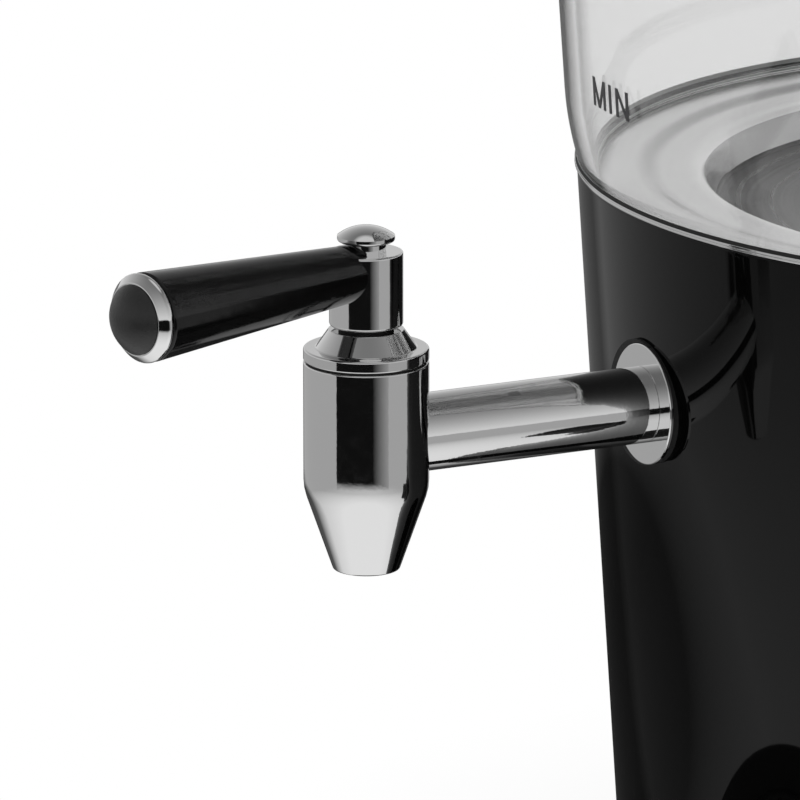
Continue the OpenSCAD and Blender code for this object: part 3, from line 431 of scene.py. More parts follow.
class Finishes:
    """Every finish of the tea maker, built once."""

    def __init__(self) -> None:
        """Name the finishes."""
        # Stoved gloss lacquer on steel: near black, mirror smooth, with a trace of orange peel
        self.lacquer = Finish("stoved_black_lacquer", "#030303", 0.03, specular=0.16, grain_mm=30.0,
                              grain=0.002, rough_swing=0.3, tint_swing=0.1).material()
        # Chrome plate on turned brass: hard reflections, faint polishing waves
        self.chrome = Finish("polished_chrome_plate", "#dcdcdc", 0.045, 1.0, grain_mm=2.2, grain=0.006,
                             rough_swing=0.5, tint_swing=0.015).material()
        # Chrome plate that was buffed on a wheel, a little softer
        self.soft_chrome = TurnedMetal("buffed_chrome_plate", "#d6d6d6", 0.06, 1.0, grain_mm=0.4, grain=0.008,
                                       rough_swing=0.45, tint_swing=0.02, line_mm=0.35,
                                       centre_mm=(0.0, -TAP_REACH, 0.0)).material()
        # Stainless sheet spun and brushed in circles; the lines are drawn coarser than the real 0.1 mm to show
        # A darker ring at the step is painted shade, and a pale ring at the lip is a painted highlight
        self.pan_steel = SpunSheet("spun_stainless", "#e6e6e6", 0.16, 1.0, grain_mm=0.4, grain=0.006,
                                   rough_swing=0.25, tint_swing=0.03, line_mm=1.1, rings=(
                                       ("#bebebe", 84.6, 87.2, 90.2), ("#fcfcfc", 74.8, 76.8, 81.5),
                                   )).material()
        # The recess floor: dark grey as painted shade in the recess, with a duller gloss
        self.dull_steel = TurnedMetal("recess_shade_stainless", "#484848", 0.3, 1.0, grain_mm=0.4, grain=0.002,
                                      rough_swing=0.14, tint_swing=0.06, line_mm=1.6).material()
        # The recess wall, painted darker than the shelf as shade in the recess
        self.drawn_steel = TurnedMetal("wall_shade_stainless", "#c4c4c4", 0.2, 1.0, grain_mm=0.4, grain=0.006,
                                       rough_swing=0.25, tint_swing=0.04, line_mm=1.1).material()
        # Stainless sheet brushed in circles: streaked highlights, from lines drawn coarser than they are
        self.lid_steel = TurnedMetal("brushed_stainless", "#c2c2c2", 0.24, 1.0, grain_mm=0.4, grain=0.06,
                                     rough_swing=0.25, tint_swing=0.03, line_mm=0.5).material()
        # Enamel fired on steel: hard black with a softened gloss
        self.enamel = Finish("black_enamel_on_steel", "#0b0b0b", 0.3, grain_mm=0.8, grain=0.05).material()
        # Zinc plate on pressings inside the body: pale and dull
        self.inner_steel = Finish("zinc_plated_steel", "#a9acad", 0.38, 1.0, grain_mm=0.8, grain=0.06).material()
        # Phenolic grip: deep black with a polished skin
        self.phenolic = Finish("polished_phenolic", "#060606", 0.12, ior=1.55, specular=0.3, grain_mm=3.0,
                               grain=0.01, rough_swing=0.25).material()
        # Moulded plastics: fine spark-eroded grain
        self.satin_black = Finish("satin_black_abs", "#161616", 0.42, grain_mm=0.5, grain=0.10).material()
        self.matt_black = Finish("matt_black_abs", "#121212", 0.55, grain_mm=0.4, grain=0.14).material()
        # Moulded rubber: deep matt with a faint bloom
        self.rubber = Finish("black_rubber", "#101010", 0.72, grain_mm=0.7, grain=0.12).material()
        # Moulded silicone: milky, with soft highlights
        self.silicone = Finish("milky_silicone", "#cfd2d0", 0.45, ior=1.41, grain_mm=1.2, grain=0.04).material()
        # Turned brass: warm with a soft gloss
        self.brass = Finish("turned_brass", "#b59655", 0.25, 1.0, grain_mm=0.5, grain=0.04).material()
        # Die-cast aluminium: a coarse grey skin
        self.cast = Finish("cast_aluminium", "#8f9295", 0.5, 1.0, grain_mm=1.4, grain=0.25).material()
        # Moulded melamine: warm white and slightly glossy
        self.ivory = Finish("ivory_melamine", "#e0dcc9", 0.4, grain_mm=0.6, grain=0.06).material()
        # Blown glass: clear, with slow waves as wide as a thumb
        self.glass = ClearGlass("blown_clear_glass", "#ededed", 0.0, ior=1.47, grain_mm=26.0, grain=0.01).material()
        # Moulded acrylic: amber with a wet gloss
        self.lens = Finish("amber_lens", "#b5391f", 0.12, ior=1.49, coat=0.4, grain_mm=1.0, grain=0.05).material()
        # Ceramic ink fired on the glass: flat dark grey
        self.ink = Finish("fired_grey_ink", "#2c2c2e", 0.5, grain_mm=0.3, grain=0.05).material()
        # Pad print and the ink's base coat: flat and nearly white
        self.pale_ink = Finish("white_pad_print", "#d9d9d6", 0.5, grain_mm=0.3, grain=0.05).material()


@dataclass(frozen=True)
class Corner:
    """A corner of a half section: its radius from the axis, its height and its rounding."""

    r: float
    z: float
    f: float = 0.0


def rounded(corners: Sequence[Corner], closed: bool) -> list[Point]:
    """Lay an arc in each rounded corner, with a holding point beside it.

    Args:
        corners: The section's corners in order.
        closed: Whether the last corner leads back to the first.

    Returns:
        Points of radius and height.
    """
    points: list[Point] = []
    count = len(corners)
    # Shares: of a side for a rounding at most, and of the radius and of a side's rest for the holding point
    most, of_radius, of_rest = 0.49, 0.25, 0.3
    for i, corner in enumerate(corners):
        ends = not closed and i in (0, count - 1)
        here = Vector((corner.r, corner.z))
        if ends or corner.f <= 0:
            points.append((corner.r, corner.z))
            continue
        before, after = corners[i - 1], corners[(i + 1) % count]
        back = Vector((before.r, before.z)) - here
        ahead = Vector((after.r, after.z)) - here
        turn = math.pi - back.angle(ahead)
        if turn < LEAST_BEND:
            points.append((corner.r, corner.z))
            continue
        take = min(corner.f * math.tan(turn / 2), most * back.length, most * ahead.length)
        radius = take / math.tan(turn / 2)
        start = here + back.normalized() * take
        inward = (back.normalized() + ahead.normalized()).normalized()
        middle = here + inward * (radius / math.cos(turn / 2))
        first = start - middle
        sense = 1.0 if (-back).cross(ahead) > 0 else -1.0
        hold = min(of_radius * radius, of_rest * (back.length - take), of_rest * (ahead.length - take))
        points.append(tuple(start + back.normalized() * hold))
        parts = max(2, round(ARC_STEPS * turn / (math.pi / 2)) + 1)
        for k in range(parts + 1):
            a = sense * turn * k / parts
            points.append((middle.x + first.x * math.cos(a) - first.y * math.sin(a),
                           middle.y + first.x * math.sin(a) + first.y * math.cos(a)))
        end = here + ahead.normalized() * take
        points.append(tuple(end + ahead.normalized() * hold))
    return points


def dome(r: float, base: float, height: float) -> list[Corner]:
    """Corners of a shallow dome from its rim to the axis.

    Args:
        r: Radius of the rim.
        base: Height of the rim.
        height: Rise of the crown above the rim.

    Returns:
        Corners from the rim to the crown on the axis.
    """
    ball = (r * r + height * height) / (2 * height)
    half = math.asin(min(1.0, r / ball))
    middle = base + height - ball
    angles = [half * (1 - i / DOME_STEPS) for i in range(DOME_STEPS + 1)]
    return [Corner(ball * math.sin(a), middle + ball * math.cos(a)) for a in angles]


def finish_mesh(name: str, work: bmesh.types.BMesh, material: bpy.types.Material) -> bpy.types.Object:
    """Turn a bmesh into a smooth-shaded object at the origin.

    Args:
        name: The piece's name.
        work: The bmesh, which is freed.
        material: Its finish.

    Returns:
        The new object.
    """
    bmesh.ops.remove_doubles(work, verts=work.verts, dist=SAME_POINT)
    bmesh.ops.recalc_face_normals(work, faces=work.faces)
    mesh = bpy.data.meshes.new(name)
    work.to_mesh(mesh)
    work.free()
    shade_smooth(mesh)
    mesh.materials.append(material)
    return add_object(name, mesh)


def shade_smooth(mesh: bpy.types.Mesh) -> None:
    """Shade a mesh smoothly and keep its edges."""
    mesh.polygons.foreach_set("use_smooth", [True] * len(mesh.polygons))
    mesh.set_sharp_from_angle(angle=SHARP_ANGLE)


def lathe(name: str, corners: Sequence[Corner], place: Matrix, material: bpy.types.Material,
          closed: bool = True, steps: int = TURN_STEPS) -> bpy.types.Object:
    """Turn a half section round its axis.

    Args:
        name: The piece's name.
        corners: The half section in millimetres.
        place: Where the turned piece goes, in millimetres.
        material: Its finish.
        closed: Whether the section is a ring; an open section begins and ends on the axis.
        steps: Faces round the axis.

    Returns:
        The new object.
    """
    points = rounded(corners, closed)
    work = bmesh.new()
    rings: list[list[bmesh.types.BMVert]] = []
    for r, z in points:
        if r < ON_AXIS:
            rings.append([work.verts.new(place @ Vector((0, 0, z)) * MM)])
            continue
        turns = [2 * math.pi * k / steps for k in range(steps)]
        rings.append([work.verts.new(place @ Vector((r * math.cos(a), r * math.sin(a), z)) * MM) for a in turns])
    pairs = list(zip(rings, rings[1:]))
    if closed:
        pairs.append((rings[-1], rings[0]))
    for low, high in pairs:
        for k in range(steps):
            n = (k + 1) % steps
            loop = [low[k % len(low)], low[n % len(low)], high[n % len(high)], high[k % len(high)]]
            unique = list(dict.fromkeys(loop))
            if len(unique) > 2:
                work.faces.new(unique)
    return finish_mesh(name, work, material)


def cut_away(piece: bpy.types.Object, solid: bmesh.types.BMesh) -> None:
    """Cut a solid out of a piece.

    Args:
        piece: The piece to cut.
        solid: What is taken away, in metres; it is freed.
    """
    mesh = bpy.data.meshes.new("cutter")
    solid.to_mesh(mesh)
    solid.free()
    cutter = add_object("cutter", mesh)
    cut = piece.modifiers.new("cut", "BOOLEAN")
    cut.operation = "DIFFERENCE"
    cut.solver = "EXACT"
    cut.object = cutter
    bake_modifiers(piece)
    shade_smooth(piece.data)
    bpy.data.objects.remove(cutter)


def drilled(piece: bpy.types.Object, holes: Iterable[tuple[Matrix, float, float]]) -> None:
    """Cut round holes through a piece.

    Args:
        piece: The piece to cut.
        holes: For each hole its place, its radius and its length, in millimetres.
    """
    for place, radius, length in holes:
        solid = bmesh.new()
        shift = Matrix.Diagonal((MM, MM, MM, 1)) @ place
        bmesh.ops.create_cone(solid, cap_ends=True, segments=HOLE_STEPS, radius1=radius, radius2=radius,
                              depth=length, matrix=shift)
        cut_away(piece, solid)


def slab(place: Matrix, wide: float, deep: float, tall: float) -> bmesh.types.BMesh:
    """A rectangular block about its own middle.

    Args:
        place: Where it goes, in millimetres.
        wide: Its size along local X.
        deep: Its size along local Y.
        tall: Its size along local Z.

    Returns:
        A bmesh in metres.
    """
    solid = bmesh.new()
    size = Matrix.Diagonal((wide, deep, tall, 1))
    bmesh.ops.create_cube(solid, size=1.0, matrix=Matrix.Diagonal((MM, MM, MM, 1)) @ place @ size)
    return solid


def seat(piece: bpy.types.Object, place: Matrix) -> None:
    """Move the points of a piece made about the origin, so that the object itself stays unturned.

    Args:
        piece: The piece.
        place: Where it goes, in millimetres.
    """
    piece.data.transform(Matrix.Translation(place.translation * MM) @ place.to_3x3().to_4x4())


def join_in(piece: bpy.types.Object, *others: bpy.types.Object) -> None:
    """Pour the meshes of other pieces into one and drop the others.

    Args:
        piece: The piece that takes them.
        *others: The pieces that are poured in.
    """
    work = bmesh.new()
    work.from_mesh(piece.data)
    for other in others:
        work.from_mesh(other.data)
        bpy.data.objects.remove(other)
    work.to_mesh(piece.data)
    work.free()
    shade_smooth(piece.data)


def bake_modifiers(piece: bpy.types.Object) -> None:
    """Replace a piece's mesh by what its modifiers make of it.

    Args:
        piece: The piece, which loses its modifiers.
    """
    graph = bpy.context.evaluated_depsgraph_get()
    graph.update()
    made = bpy.data.meshes.new_from_object(piece.evaluated_get(graph))
    piece.modifiers.clear()
    piece.data = made


def move(x: float = 0.0, y: float = 0.0, z: float = 0.0) -> Matrix:
    """A shift in millimetres."""
    return Matrix.Translation((x, y, z))


def spin(degrees: float, axis: str) -> Matrix:
    """A turn about an axis."""
    return Matrix.Rotation(math.radians(degrees), 4, axis)


def radial(az: float, z: float) -> Matrix:
    """A level axis out of the body: local Z runs outward, local Y up."""
    return spin(az, "Z") @ move(z=z) @ spin(90, "X")


class RingOfCopies:
    """Geometry Nodes that set copies of one shape in rows round the Z axis and join them to a piece."""

    def __init__(self) -> None:
        """Build the node tree with its named inputs."""
        tree = bpy.data.node_groups.new("ring_of_copies", "GeometryNodeTree")
        kinds = {
            "Shape": "NodeSocketObject", "Count": "NodeSocketInt", "Rows": "NodeSocketInt",
            "Radius": "NodeSocketFloat", "Start": "NodeSocketFloat", "Step": "NodeSocketFloat",
            "Rise": "NodeSocketFloat", "Finish": "NodeSocketMaterial",
        }
        tree.interface.new_socket("Geometry", in_out="INPUT", socket_type="NodeSocketGeometry")
        self.sockets = {
            name: tree.interface.new_socket(name, in_out="INPUT", socket_type=kind).identifier
            for name, kind in kinds.items()
        }
        tree.interface.new_socket("Geometry", in_out="OUTPUT", socket_type="NodeSocketGeometry")
        start = put(tree, "NodeGroupInput")
        given = start.outputs
        total = put(tree, "ShaderNodeMath", {0: given["Count"], 1: given["Rows"]}, operation="MULTIPLY")
        index = put(tree, "GeometryNodeInputIndex")
        column = put(tree, "ShaderNodeMath", {0: index.outputs["Index"], 1: given["Count"]}, operation="MODULO")
        ratio = put(tree, "ShaderNodeMath", {0: index.outputs["Index"], 1: given["Count"]}, operation="DIVIDE")
        row = put(tree, "ShaderNodeMath", {0: ratio.outputs["Value"]}, operation="FLOOR")
        turn = put(tree, "ShaderNodeMath", {
            0: column.outputs["Value"], 1: given["Step"], 2: given["Start"],
        }, operation="MULTIPLY_ADD")
        height = put(tree, "ShaderNodeMath", {0: row.outputs["Value"], 1: given["Rise"]}, operation="MULTIPLY")
        out = put(tree, "ShaderNodeCombineXYZ", {"X": given["Radius"]})
        swung = put(tree, "ShaderNodeVectorRotate", {
            "Vector": out.outputs["Vector"], "Angle": turn.outputs["Value"],
        }, rotation_type="Z_AXIS")
        lift = put(tree, "ShaderNodeCombineXYZ", {"Z": height.outputs["Value"]})
        spot = put(tree, "ShaderNodeVectorMath", {0: swung.outputs["Vector"], 1: lift.outputs["Vector"]},
                   operation="ADD")
        points = put(tree, "GeometryNodePoints", {
            "Count": total.outputs["Value"], "Position": spot.outputs["Vector"],
        })
        shape = put(tree, "GeometryNodeObjectInfo", {"Object": given["Shape"]}, transform_space="ORIGINAL")
        faced = put(tree, "ShaderNodeCombineXYZ", {"Z": turn.outputs["Value"]})
        copies = put(tree, "GeometryNodeInstanceOnPoints", {
            "Points": points.outputs[0], "Instance": shape.outputs["Geometry"], "Rotation": faced.outputs["Vector"],
        })
        real = put(tree, "GeometryNodeRealizeInstances", {"Geometry": copies.outputs["Instances"]})
        both = put(tree, "GeometryNodeJoinGeometry")
        tree.links.new(real.outputs["Geometry"], both.inputs[0])
        tree.links.new(given["Geometry"], both.inputs[0])
        finish = put(tree, "GeometryNodeSetMaterial", {
            "Geometry": both.outputs["Geometry"], "Material": given["Finish"],
        })
        put(tree, "NodeGroupOutput", {0: finish.outputs["Geometry"]})
        self.tree = tree

    def add(self, piece: bpy.types.Object, shape: bpy.types.Object, **given: Any) -> None:
        """Join a ring of copies to a piece.

        Args:
            piece: The piece that takes them.
            shape: The shape that is copied; it is dropped afterwards.
            **given: The tree's other inputs, with lengths in metres and turns in radians.
        """
        ring = piece.modifiers.new("ring_of_copies", "NODES")
        ring.node_group = self.tree
        for name, value in {"Shape": shape, "Rows": 1, "Rise": 0.0, "Start": 0.0, **given}.items():
            ring[self.sockets[name]] = value
        bake_modifiers(piece)
        shade_smooth(piece.data)
        bpy.data.objects.remove(shape)


class Bench:
    """Keeps the frame, its first box, the finishes and the node trees that the sub-assemblies share."""

    def __init__(self) -> None:
        """Load the frame and build the finishes."""
        self.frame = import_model()
        self.cad_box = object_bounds()
        self.finish = Finishes()
        self.shading = self.shading_tree()
        self.rings = RingOfCopies()

    def shading_tree(self) -> bpy.types.NodeTree:
        """Geometry Nodes that shade a CAD mesh smoothly and keep its edges.

        Returns:
            The node tree.
        """
        tree = bpy.data.node_groups.new("smooth_with_edges", "GeometryNodeTree")
        tree.interface.new_socket("Geometry", in_out="INPUT", socket_type="NodeSocketGeometry")
        tree.interface.new_socket("Geometry", in_out="OUTPUT", socket_type="NodeSocketGeometry")
        start = put(tree, "NodeGroupInput")
        merged = put(tree, "GeometryNodeMergeByDistance", {"Geometry": start.outputs[0], "Distance": SAME_CAD_POINT})
        smooth = put(tree, "GeometryNodeSetShadeSmooth", {
            "Geometry": merged.outputs["Geometry"], "Shade Smooth": True,
        }, domain="FACE")
        angle = put(tree, "GeometryNodeInputMeshEdgeAngle")
        sharp = put(tree, "FunctionNodeCompare", {
            "A": angle.outputs["Unsigned Angle"], "B": SHARP_ANGLE,
        }, data_type="FLOAT", operation="GREATER_THAN")
        edges = put(tree, "GeometryNodeSetShadeSmooth", {
            "Geometry": smooth.outputs["Geometry"], "Selection": sharp.outputs["Result"], "Shade Smooth": False,
        }, domain="EDGE")
        put(tree, "NodeGroupOutput", {0: edges.outputs["Geometry"]})
        return tree

    def dress(self, material: bpy.types.Material, *nodes: str, edge: float = 0.0) -> None:
        """Give CAD nodes a finish, soft edges and smooth shading.

        Args:
            material: The finish.
            *nodes: Names of the CAD nodes.
            edge: Width of the soft edges in millimetres.
        """
        for name in nodes:
            node = self.frame["nodes"][name]
            node.data.materials.clear()
            node.data.materials.append(material)
            if edge > 0:
                weld = node.modifiers.new("weld", "WELD")
                weld.merge_threshold = SAME_CAD_POINT
                soft = node.modifiers.new("soft_edges", "BEVEL")
                soft.width = edge * MM
                soft.segments = 2
                soft.limit_method = "ANGLE"
                soft.angle_limit = EDGE_ANGLE
            smooth = node.modifiers.new("smooth_with_edges", "NODES")
            smooth.node_group = self.shading
            LOG.info("dressed %s as %s", name, material.name)

    def place(self, piece: bpy.types.Object, ride: Ride, slot: Slot, *stands_for: str) -> None:
        """Hand a finished piece to the frame.

        Args:
            piece: The piece.
            ride: The body that it moves with.
            slot: The record's slot for its finish; not used.
            *stands_for: CAD nodes that it replaces.
        """
        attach(piece, ride.value)
        if stands_for:
            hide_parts(*stands_for)
        LOG.info("placed %s on %s", piece.name, ride.value)


@dataclass
class HeatedBody:
    """The lacquered cone with its plinth, rim band and boiler pan."""

    bench: Bench
    rim_r: float = 100.0
    rim_z: float = RIM_Z
    taper: float = 0.066
    shell_t: float = 1.2
    shell_edge: float = 0.5
    shell_rows: int = 14
    plinth_top: float = 22.0
    inlet_z: float = 46.0
    inlet_hole: Spot = (28.4, 21.4, 20.0)
    fit: float = 0.2
    band_r: float = 100.41
    band_h: float = 1.6
    band_t: float = 0.4
    bead_h: float = 0.5
    lip_h: float = 0.95
    lip_in: float = 0.15
    seat_h: float = 0.4
    skirt_h: float = 6.0
    skirt_t: float = 2.0
    ledge_in: float = 5.2
    ledge_z: tuple[float, float] = (1.0, 3.0)
    pan_r: float = 97.2
    pan_t: float = 1.0
    step_r: tuple[float, float] = (88.4, 86.0)
    step_d: float = 0.8
    lip_r: float = 77.4
    wall_r: float = 74.6
    wall_d: float = 7.0
    floor_r: tuple[float, float] = (70.6, 69.4)
    floor_d: float = 7.6
    # Radius inside which the recess floor gets its painted shade
    dull_r: float = 75.1
    # Radius and depth of the recess wall's painted shade
    drawn_r: float = 77.2
    drawn_d: float = 1.6
    drain_y: float = 64.0
    drain_r: float = 3.2

    def shell_r(self, z: float) -> float:
        """Radius of the shell's outside at a height."""
        return self.rim_r - self.taper * (self.rim_z - z)

    def build(self) -> None:
        """Make and dress the body."""
        self.shell()
        self.band()
        self.pan()
        look = self.bench.finish
        self.bench.dress(look.satin_black, "plinth", edge=0.5)
        self.bench.dress(look.satin_black, "base_plate")
        self.bench.dress(look.rubber, "foot_ring")
        self.bench.dress(look.inner_steel, "tie_studs", "stud_nuts", "shield_nuts", "heat_shield", "drain_nipple",
                         "hose_clips", "control_bracket")
        self.bench.dress(look.cast, "heater_plate", "heating_element")
        self.bench.dress(look.matt_black, "thermal_cutout", "switch_body")
        self.bench.dress(look.ivory, "thermostat")
        self.bench.dress(look.silicone, "outlet_hose")

    def shell(self) -> None:
        """The outer cone, turned finely for clean reflections, open where the inlet goes through."""
        base, top = self.plinth_top, self.rim_z
        low, edge = self.shell_r(base), self.shell_edge
        levels = [base + (top - base) * i / self.shell_rows for i in range(1, self.shell_rows)]
        corners = [Corner(low - self.shell_t, base), Corner(low, base, edge)]
        corners += [Corner(self.shell_r(z), z) for z in levels]
        corners += [Corner(self.rim_r, top, edge), Corner(self.rim_r - self.shell_t, top)]
        corners += [Corner(self.shell_r(z) - self.shell_t, z) for z in reversed(levels)]
        piece = lathe("body_shell", corners, Matrix(), self.bench.finish.lacquer, steps=WIDE_STEPS)
        cut_away(piece, slab(radial(180, self.inlet_z) @ move(z=self.shell_r(self.inlet_z)), *self.inlet_hole))
        self.bench.place(piece, Ride.BASE, Slot.LACQUER, "outer_shell")

    def band(self) -> None:
        """The bright band round the foot of the glass: two beads, and a dark lip against the glass."""
        z, r = self.rim_z, self.band_r
        inner, ledge = self.pan_r + self.fit, self.pan_r - self.ledge_in
        skirt = self.shell_r(z - self.skirt_h) - self.shell_t - self.fit
        skirt_in, skirt_z = skirt - self.skirt_t, z - self.skirt_h
        ledge_top, ledge_low = z - self.ledge_z[0], z - self.ledge_z[1]
        bead, lip, top, seat_z = z + self.bead_h, z + self.lip_h, z + self.band_h, z + self.seat_h
        groove_d, groove_h, soft = 0.1, 0.08, 0.06
        corners = [
            Corner(ledge, ledge_low), Corner(skirt_in, ledge_low), Corner(skirt_in, skirt_z), Corner(skirt, skirt_z),
            Corner(skirt, z), Corner(r, z, 0.2), Corner(r, bead - groove_h, soft), Corner(r - groove_d, bead),
            Corner(r, bead + groove_h, soft), Corner(r, lip, 0.15), Corner(r - self.lip_in, lip),
            Corner(r - self.lip_in, top, 0.08), Corner(r - self.band_t, top, 0.08), Corner(r - self.band_t, seat_z),
            Corner(inner, seat_z), Corner(inner, ledge_top), Corner(ledge, ledge_top),
        ]
        look = self.bench.finish
        piece = lathe("rim_band", corners, Matrix(), look.chrome, steps=WIDE_STEPS)
        # The glass stands in a pale bed, so the inside of the band shows light through it
        piece.data.materials.append(look.silicone)
        piece.data.materials.append(look.rubber)
        skin, hair = 0.3, 0.01
        for face in piece.data.polygons:
            outer = face.center.xy.length / MM > r - skin
            rise = face.center.z / MM - z
            if outer and rise > self.lip_h + hair:
                face.material_index = 2
            elif not outer and rise > 0.0:
                face.material_index = 1
        self.bench.place(piece, Ride.BASE, Slot.STEEL, "rim_ring")

    def pan(self) -> None:
        """The spun pan: shelf, soft step, rolled lip and recess, with its drain."""
        z, sheet = self.rim_z, self.pan_t
        step, wall, floor = z - self.step_d, z - self.wall_d, z - self.floor_d
        (step_out, step_in), (floor_out, floor_in) = self.step_r, self.floor_r
        soft, fold = 2.0, 0.6
        upper = [
            Corner(self.pan_r, z), Corner(step_out, z, soft), Corner(step_in, step, soft),
            Corner(self.lip_r, step, 2.2), Corner(self.wall_r, wall, 0.8), Corner(floor_out, wall, fold),
            Corner(floor_in, floor, fold), Corner(0, floor),
        ]
        lower = [
            Corner(0, floor - sheet), Corner(floor_in, floor - sheet, fold), Corner(floor_out, wall - sheet, fold),
            Corner(self.wall_r + sheet, wall - sheet, 1.8), Corner(self.lip_r + sheet, step - sheet, 1.2),
            Corner(step_in, step - sheet, soft), Corner(step_out, z - sheet, soft), Corner(self.pan_r, z - sheet),
        ]
        look = self.bench.finish
        piece = lathe("spun_pan", upper + lower, Matrix(), look.pan_steel, steps=WIDE_STEPS)
        drilled(piece, [(move(0, -self.drain_y, wall - sheet), self.drain_r, 6.0)])
        # The recess floor's dark grey is painted shade
        piece.data.materials.append(look.dull_steel)
        # The recess wall's darker grey is painted shade
        piece.data.materials.append(look.drawn_steel)
        for face in piece.data.polygons:
            r = face.center.xy.length / MM
            in_wall_shade = r < self.drawn_r and face.center.z / MM < z - self.drawn_d
            face.material_index = 1 if r < self.dull_r else 2 * int(in_wall_shade)
        self.bench.place(piece, Ride.BASE, Slot.STEEL, "boiler_pan")


@dataclass
class GlassTank:
    """The glass, its steel rim and its level marks."""

    bench: Bench
    rim_z: float = RIM_Z
    glass_h: float = 140.0
    glass_t: float = 2.8
    foot_h: float = 0.8
    neck_h: float = 14.0
    neck_curve_r: float = 53.0
    line_r: float = 101.3
    flare: float = 0.07
    letter_h: float = 5.2
    stroke: float = 1.0
    min_base: float = 17.7
    max_base: float = 118.0

    def glass_r(self, h: float) -> float:
        """Outer radius of the glass at a height above the shell's edge."""
        return self.line_r + self.flare * h - max(0.0, self.neck_h - h) ** 2 / (2 * self.neck_curve_r)

    def build(self) -> None:
        """Make and dress the tank."""
        self.glass()
        self.rim()
        self.mark("level_min", [("M", -14.9, 5.9), ("I", -7.4, 1.0), ("N", -4.5, 4.9)], self.min_base)
        self.mark("level_max", [("M", -14.9, 5.9), ("A", -8.2, 5.6), ("X", -1.8, 5.3)], self.max_base)
        self.bench.dress(self.bench.finish.silicone, "glass_seal")

    def glass(self) -> None:
        """The blown wall, drawn in at its foot."""
        curve, straight, foot = 20, 6, 0.5
        heights = [self.foot_h + (self.neck_h - self.foot_h) * i / curve for i in range(curve + 1)]
        heights += [self.neck_h + (self.glass_h - self.neck_h) * i / straight for i in range(1, straight + 1)]
        outside = [Corner(self.glass_r(h), self.rim_z + h) for h in heights]
        inside = [Corner(c.r - self.glass_t, c.z) for c in reversed(outside)]
        outside[0] = Corner(outside[0].r, outside[0].z, foot)
        inside[-1] = Corner(inside[-1].r, inside[-1].z, foot)
        piece = lathe("tank_glass", outside + inside, Matrix(), self.bench.finish.glass, steps=WIDE_STEPS)
        self.bench.place(piece, Ride.BASE, Slot.GLASS, "glass_tank")

    def rim(self) -> None:
        """The steel trim that caps the edge of the glass."""
        top = self.rim_z + self.glass_h
        sheet, depth, gap = 1.2, 6.0, 0.2
        top_r = self.glass_r(self.glass_h)
        inner = top_r - self.glass_t - self.flare * depth - gap - sheet
        outer = top_r + gap
        corners = [
            Corner(inner, top - depth, 0.3), Corner(inner + sheet, top - depth, 0.3), Corner(inner + sheet, top),
            Corner(outer, top), Corner(outer, top - depth, 0.3), Corner(outer + sheet, top - depth, 0.3),
            Corner(outer + sheet, top + sheet, 0.6), Corner(inner, top + sheet, 0.4),
        ]
        piece = lathe("trim_ring", corners, Matrix(), self.bench.finish.lid_steel, steps=WIDE_STEPS)
        self.bench.place(piece, Ride.BASE, Slot.STEEL, "tank_rim")

    def mark(self, name: str, glyphs: Sequence[tuple[str, float, float]], base: float) -> None:
        """A level mark fired on the outside of the glass.

        Args:
            name: The piece's name.
            glyphs: Each letter with its start and its width along the glass, from the tap's side.
            base: Height of the letters' foot above the shell's edge.
        """
        work = bmesh.new()
        off, thick, parts, inward = 0.02, 0.12, 8, -0.7
        half = self.stroke / 2
        for letter, start, width in glyphs:
            for (x0, y0), (x1, y1) in STROKES[letter]:
                flat = half if y0 == y1 else 0.0
                last: list[bmesh.types.BMVert] = []
                for i in range(parts + 1):
                    t = i / parts
                    x = start + half + (width - 2 * half) * (x0 + (x1 - x0) * t)
                    y = base + self.letter_h * (y0 + (y1 - y0) * t)
                    side = 0.0 if flat else half
                    row = [work.verts.new(self.on_glass(x + sx * side, y + sx * flat, out))
                           for sx, out in ((-1, off), (1, off), (1, thick), (-1, thick))]
                    if last:
                        for k in range(4):
                            work.faces.new([last[k], last[(k + 1) % 4], row[(k + 1) % 4], row[k]])
                    if i in (0, parts):
                        work.faces.new(row)
                    last = row
        piece = finish_mesh(name, work, self.bench.finish.ink)
        # The ink lies on a white base coat, which faces the glass
        piece.data.materials.append(self.bench.finish.pale_ink)
        for face in piece.data.polygons:
            face.material_index = int(face.normal.xy.dot(face.center.xy.normalized()) < inward)
        self.bench.place(piece, Ride.BASE, Slot.BLACK_PLASTIC)

    def on_glass(self, along: float, h: float, out: float) -> Vector:
        """A point off the outside of the glass, in metres.

        Args:
            along: Way round the glass from the tap's side.
            h: Height above the shell's edge.
            out: Distance from the glass.

        Returns:
            The point.
        """
        r = self.glass_r(h) + out
        turn = along / r
        return Vector((r * math.sin(turn), -r * math.cos(turn), self.rim_z + h)) * MM


def lettering(name: str, words: str, height: float, place: Matrix,
              material: bpy.types.Material) -> bpy.types.Object:
    """Plain sans figures printed on a flat face, centred on their place.

    Args:
        name: The piece's name.
        words: The figures.
        height: Height of a figure in millimetres.
        place: The middle of the figures, in millimetres, with local Z out of the face.
        material: The print.

    Returns:
        The new object.
    """
    curve = bpy.data.curves.new(name, "FONT")
    curve.body = words
    curve.resolution_u = 4
    held = add_object(name, curve)
    graph = bpy.context.evaluated_depsgraph_get()
    mesh = bpy.data.meshes.new_from_object(held.evaluated_get(graph))
    bpy.data.objects.remove(held)
    work = bmesh.new()
    work.from_mesh(mesh)
    tall = [v.co.y for v in work.verts]
    wide = [v.co.x for v in work.verts]
    scale = height / (max(tall) - min(tall))
    middle = Vector(((max(wide) + min(wide)) / 2, (max(tall) + min(tall)) / 2, 0.0))
    for vert in work.verts:
        vert.co = place @ ((vert.co - middle) * scale) * MM
    return finish_mesh(name, work, material)


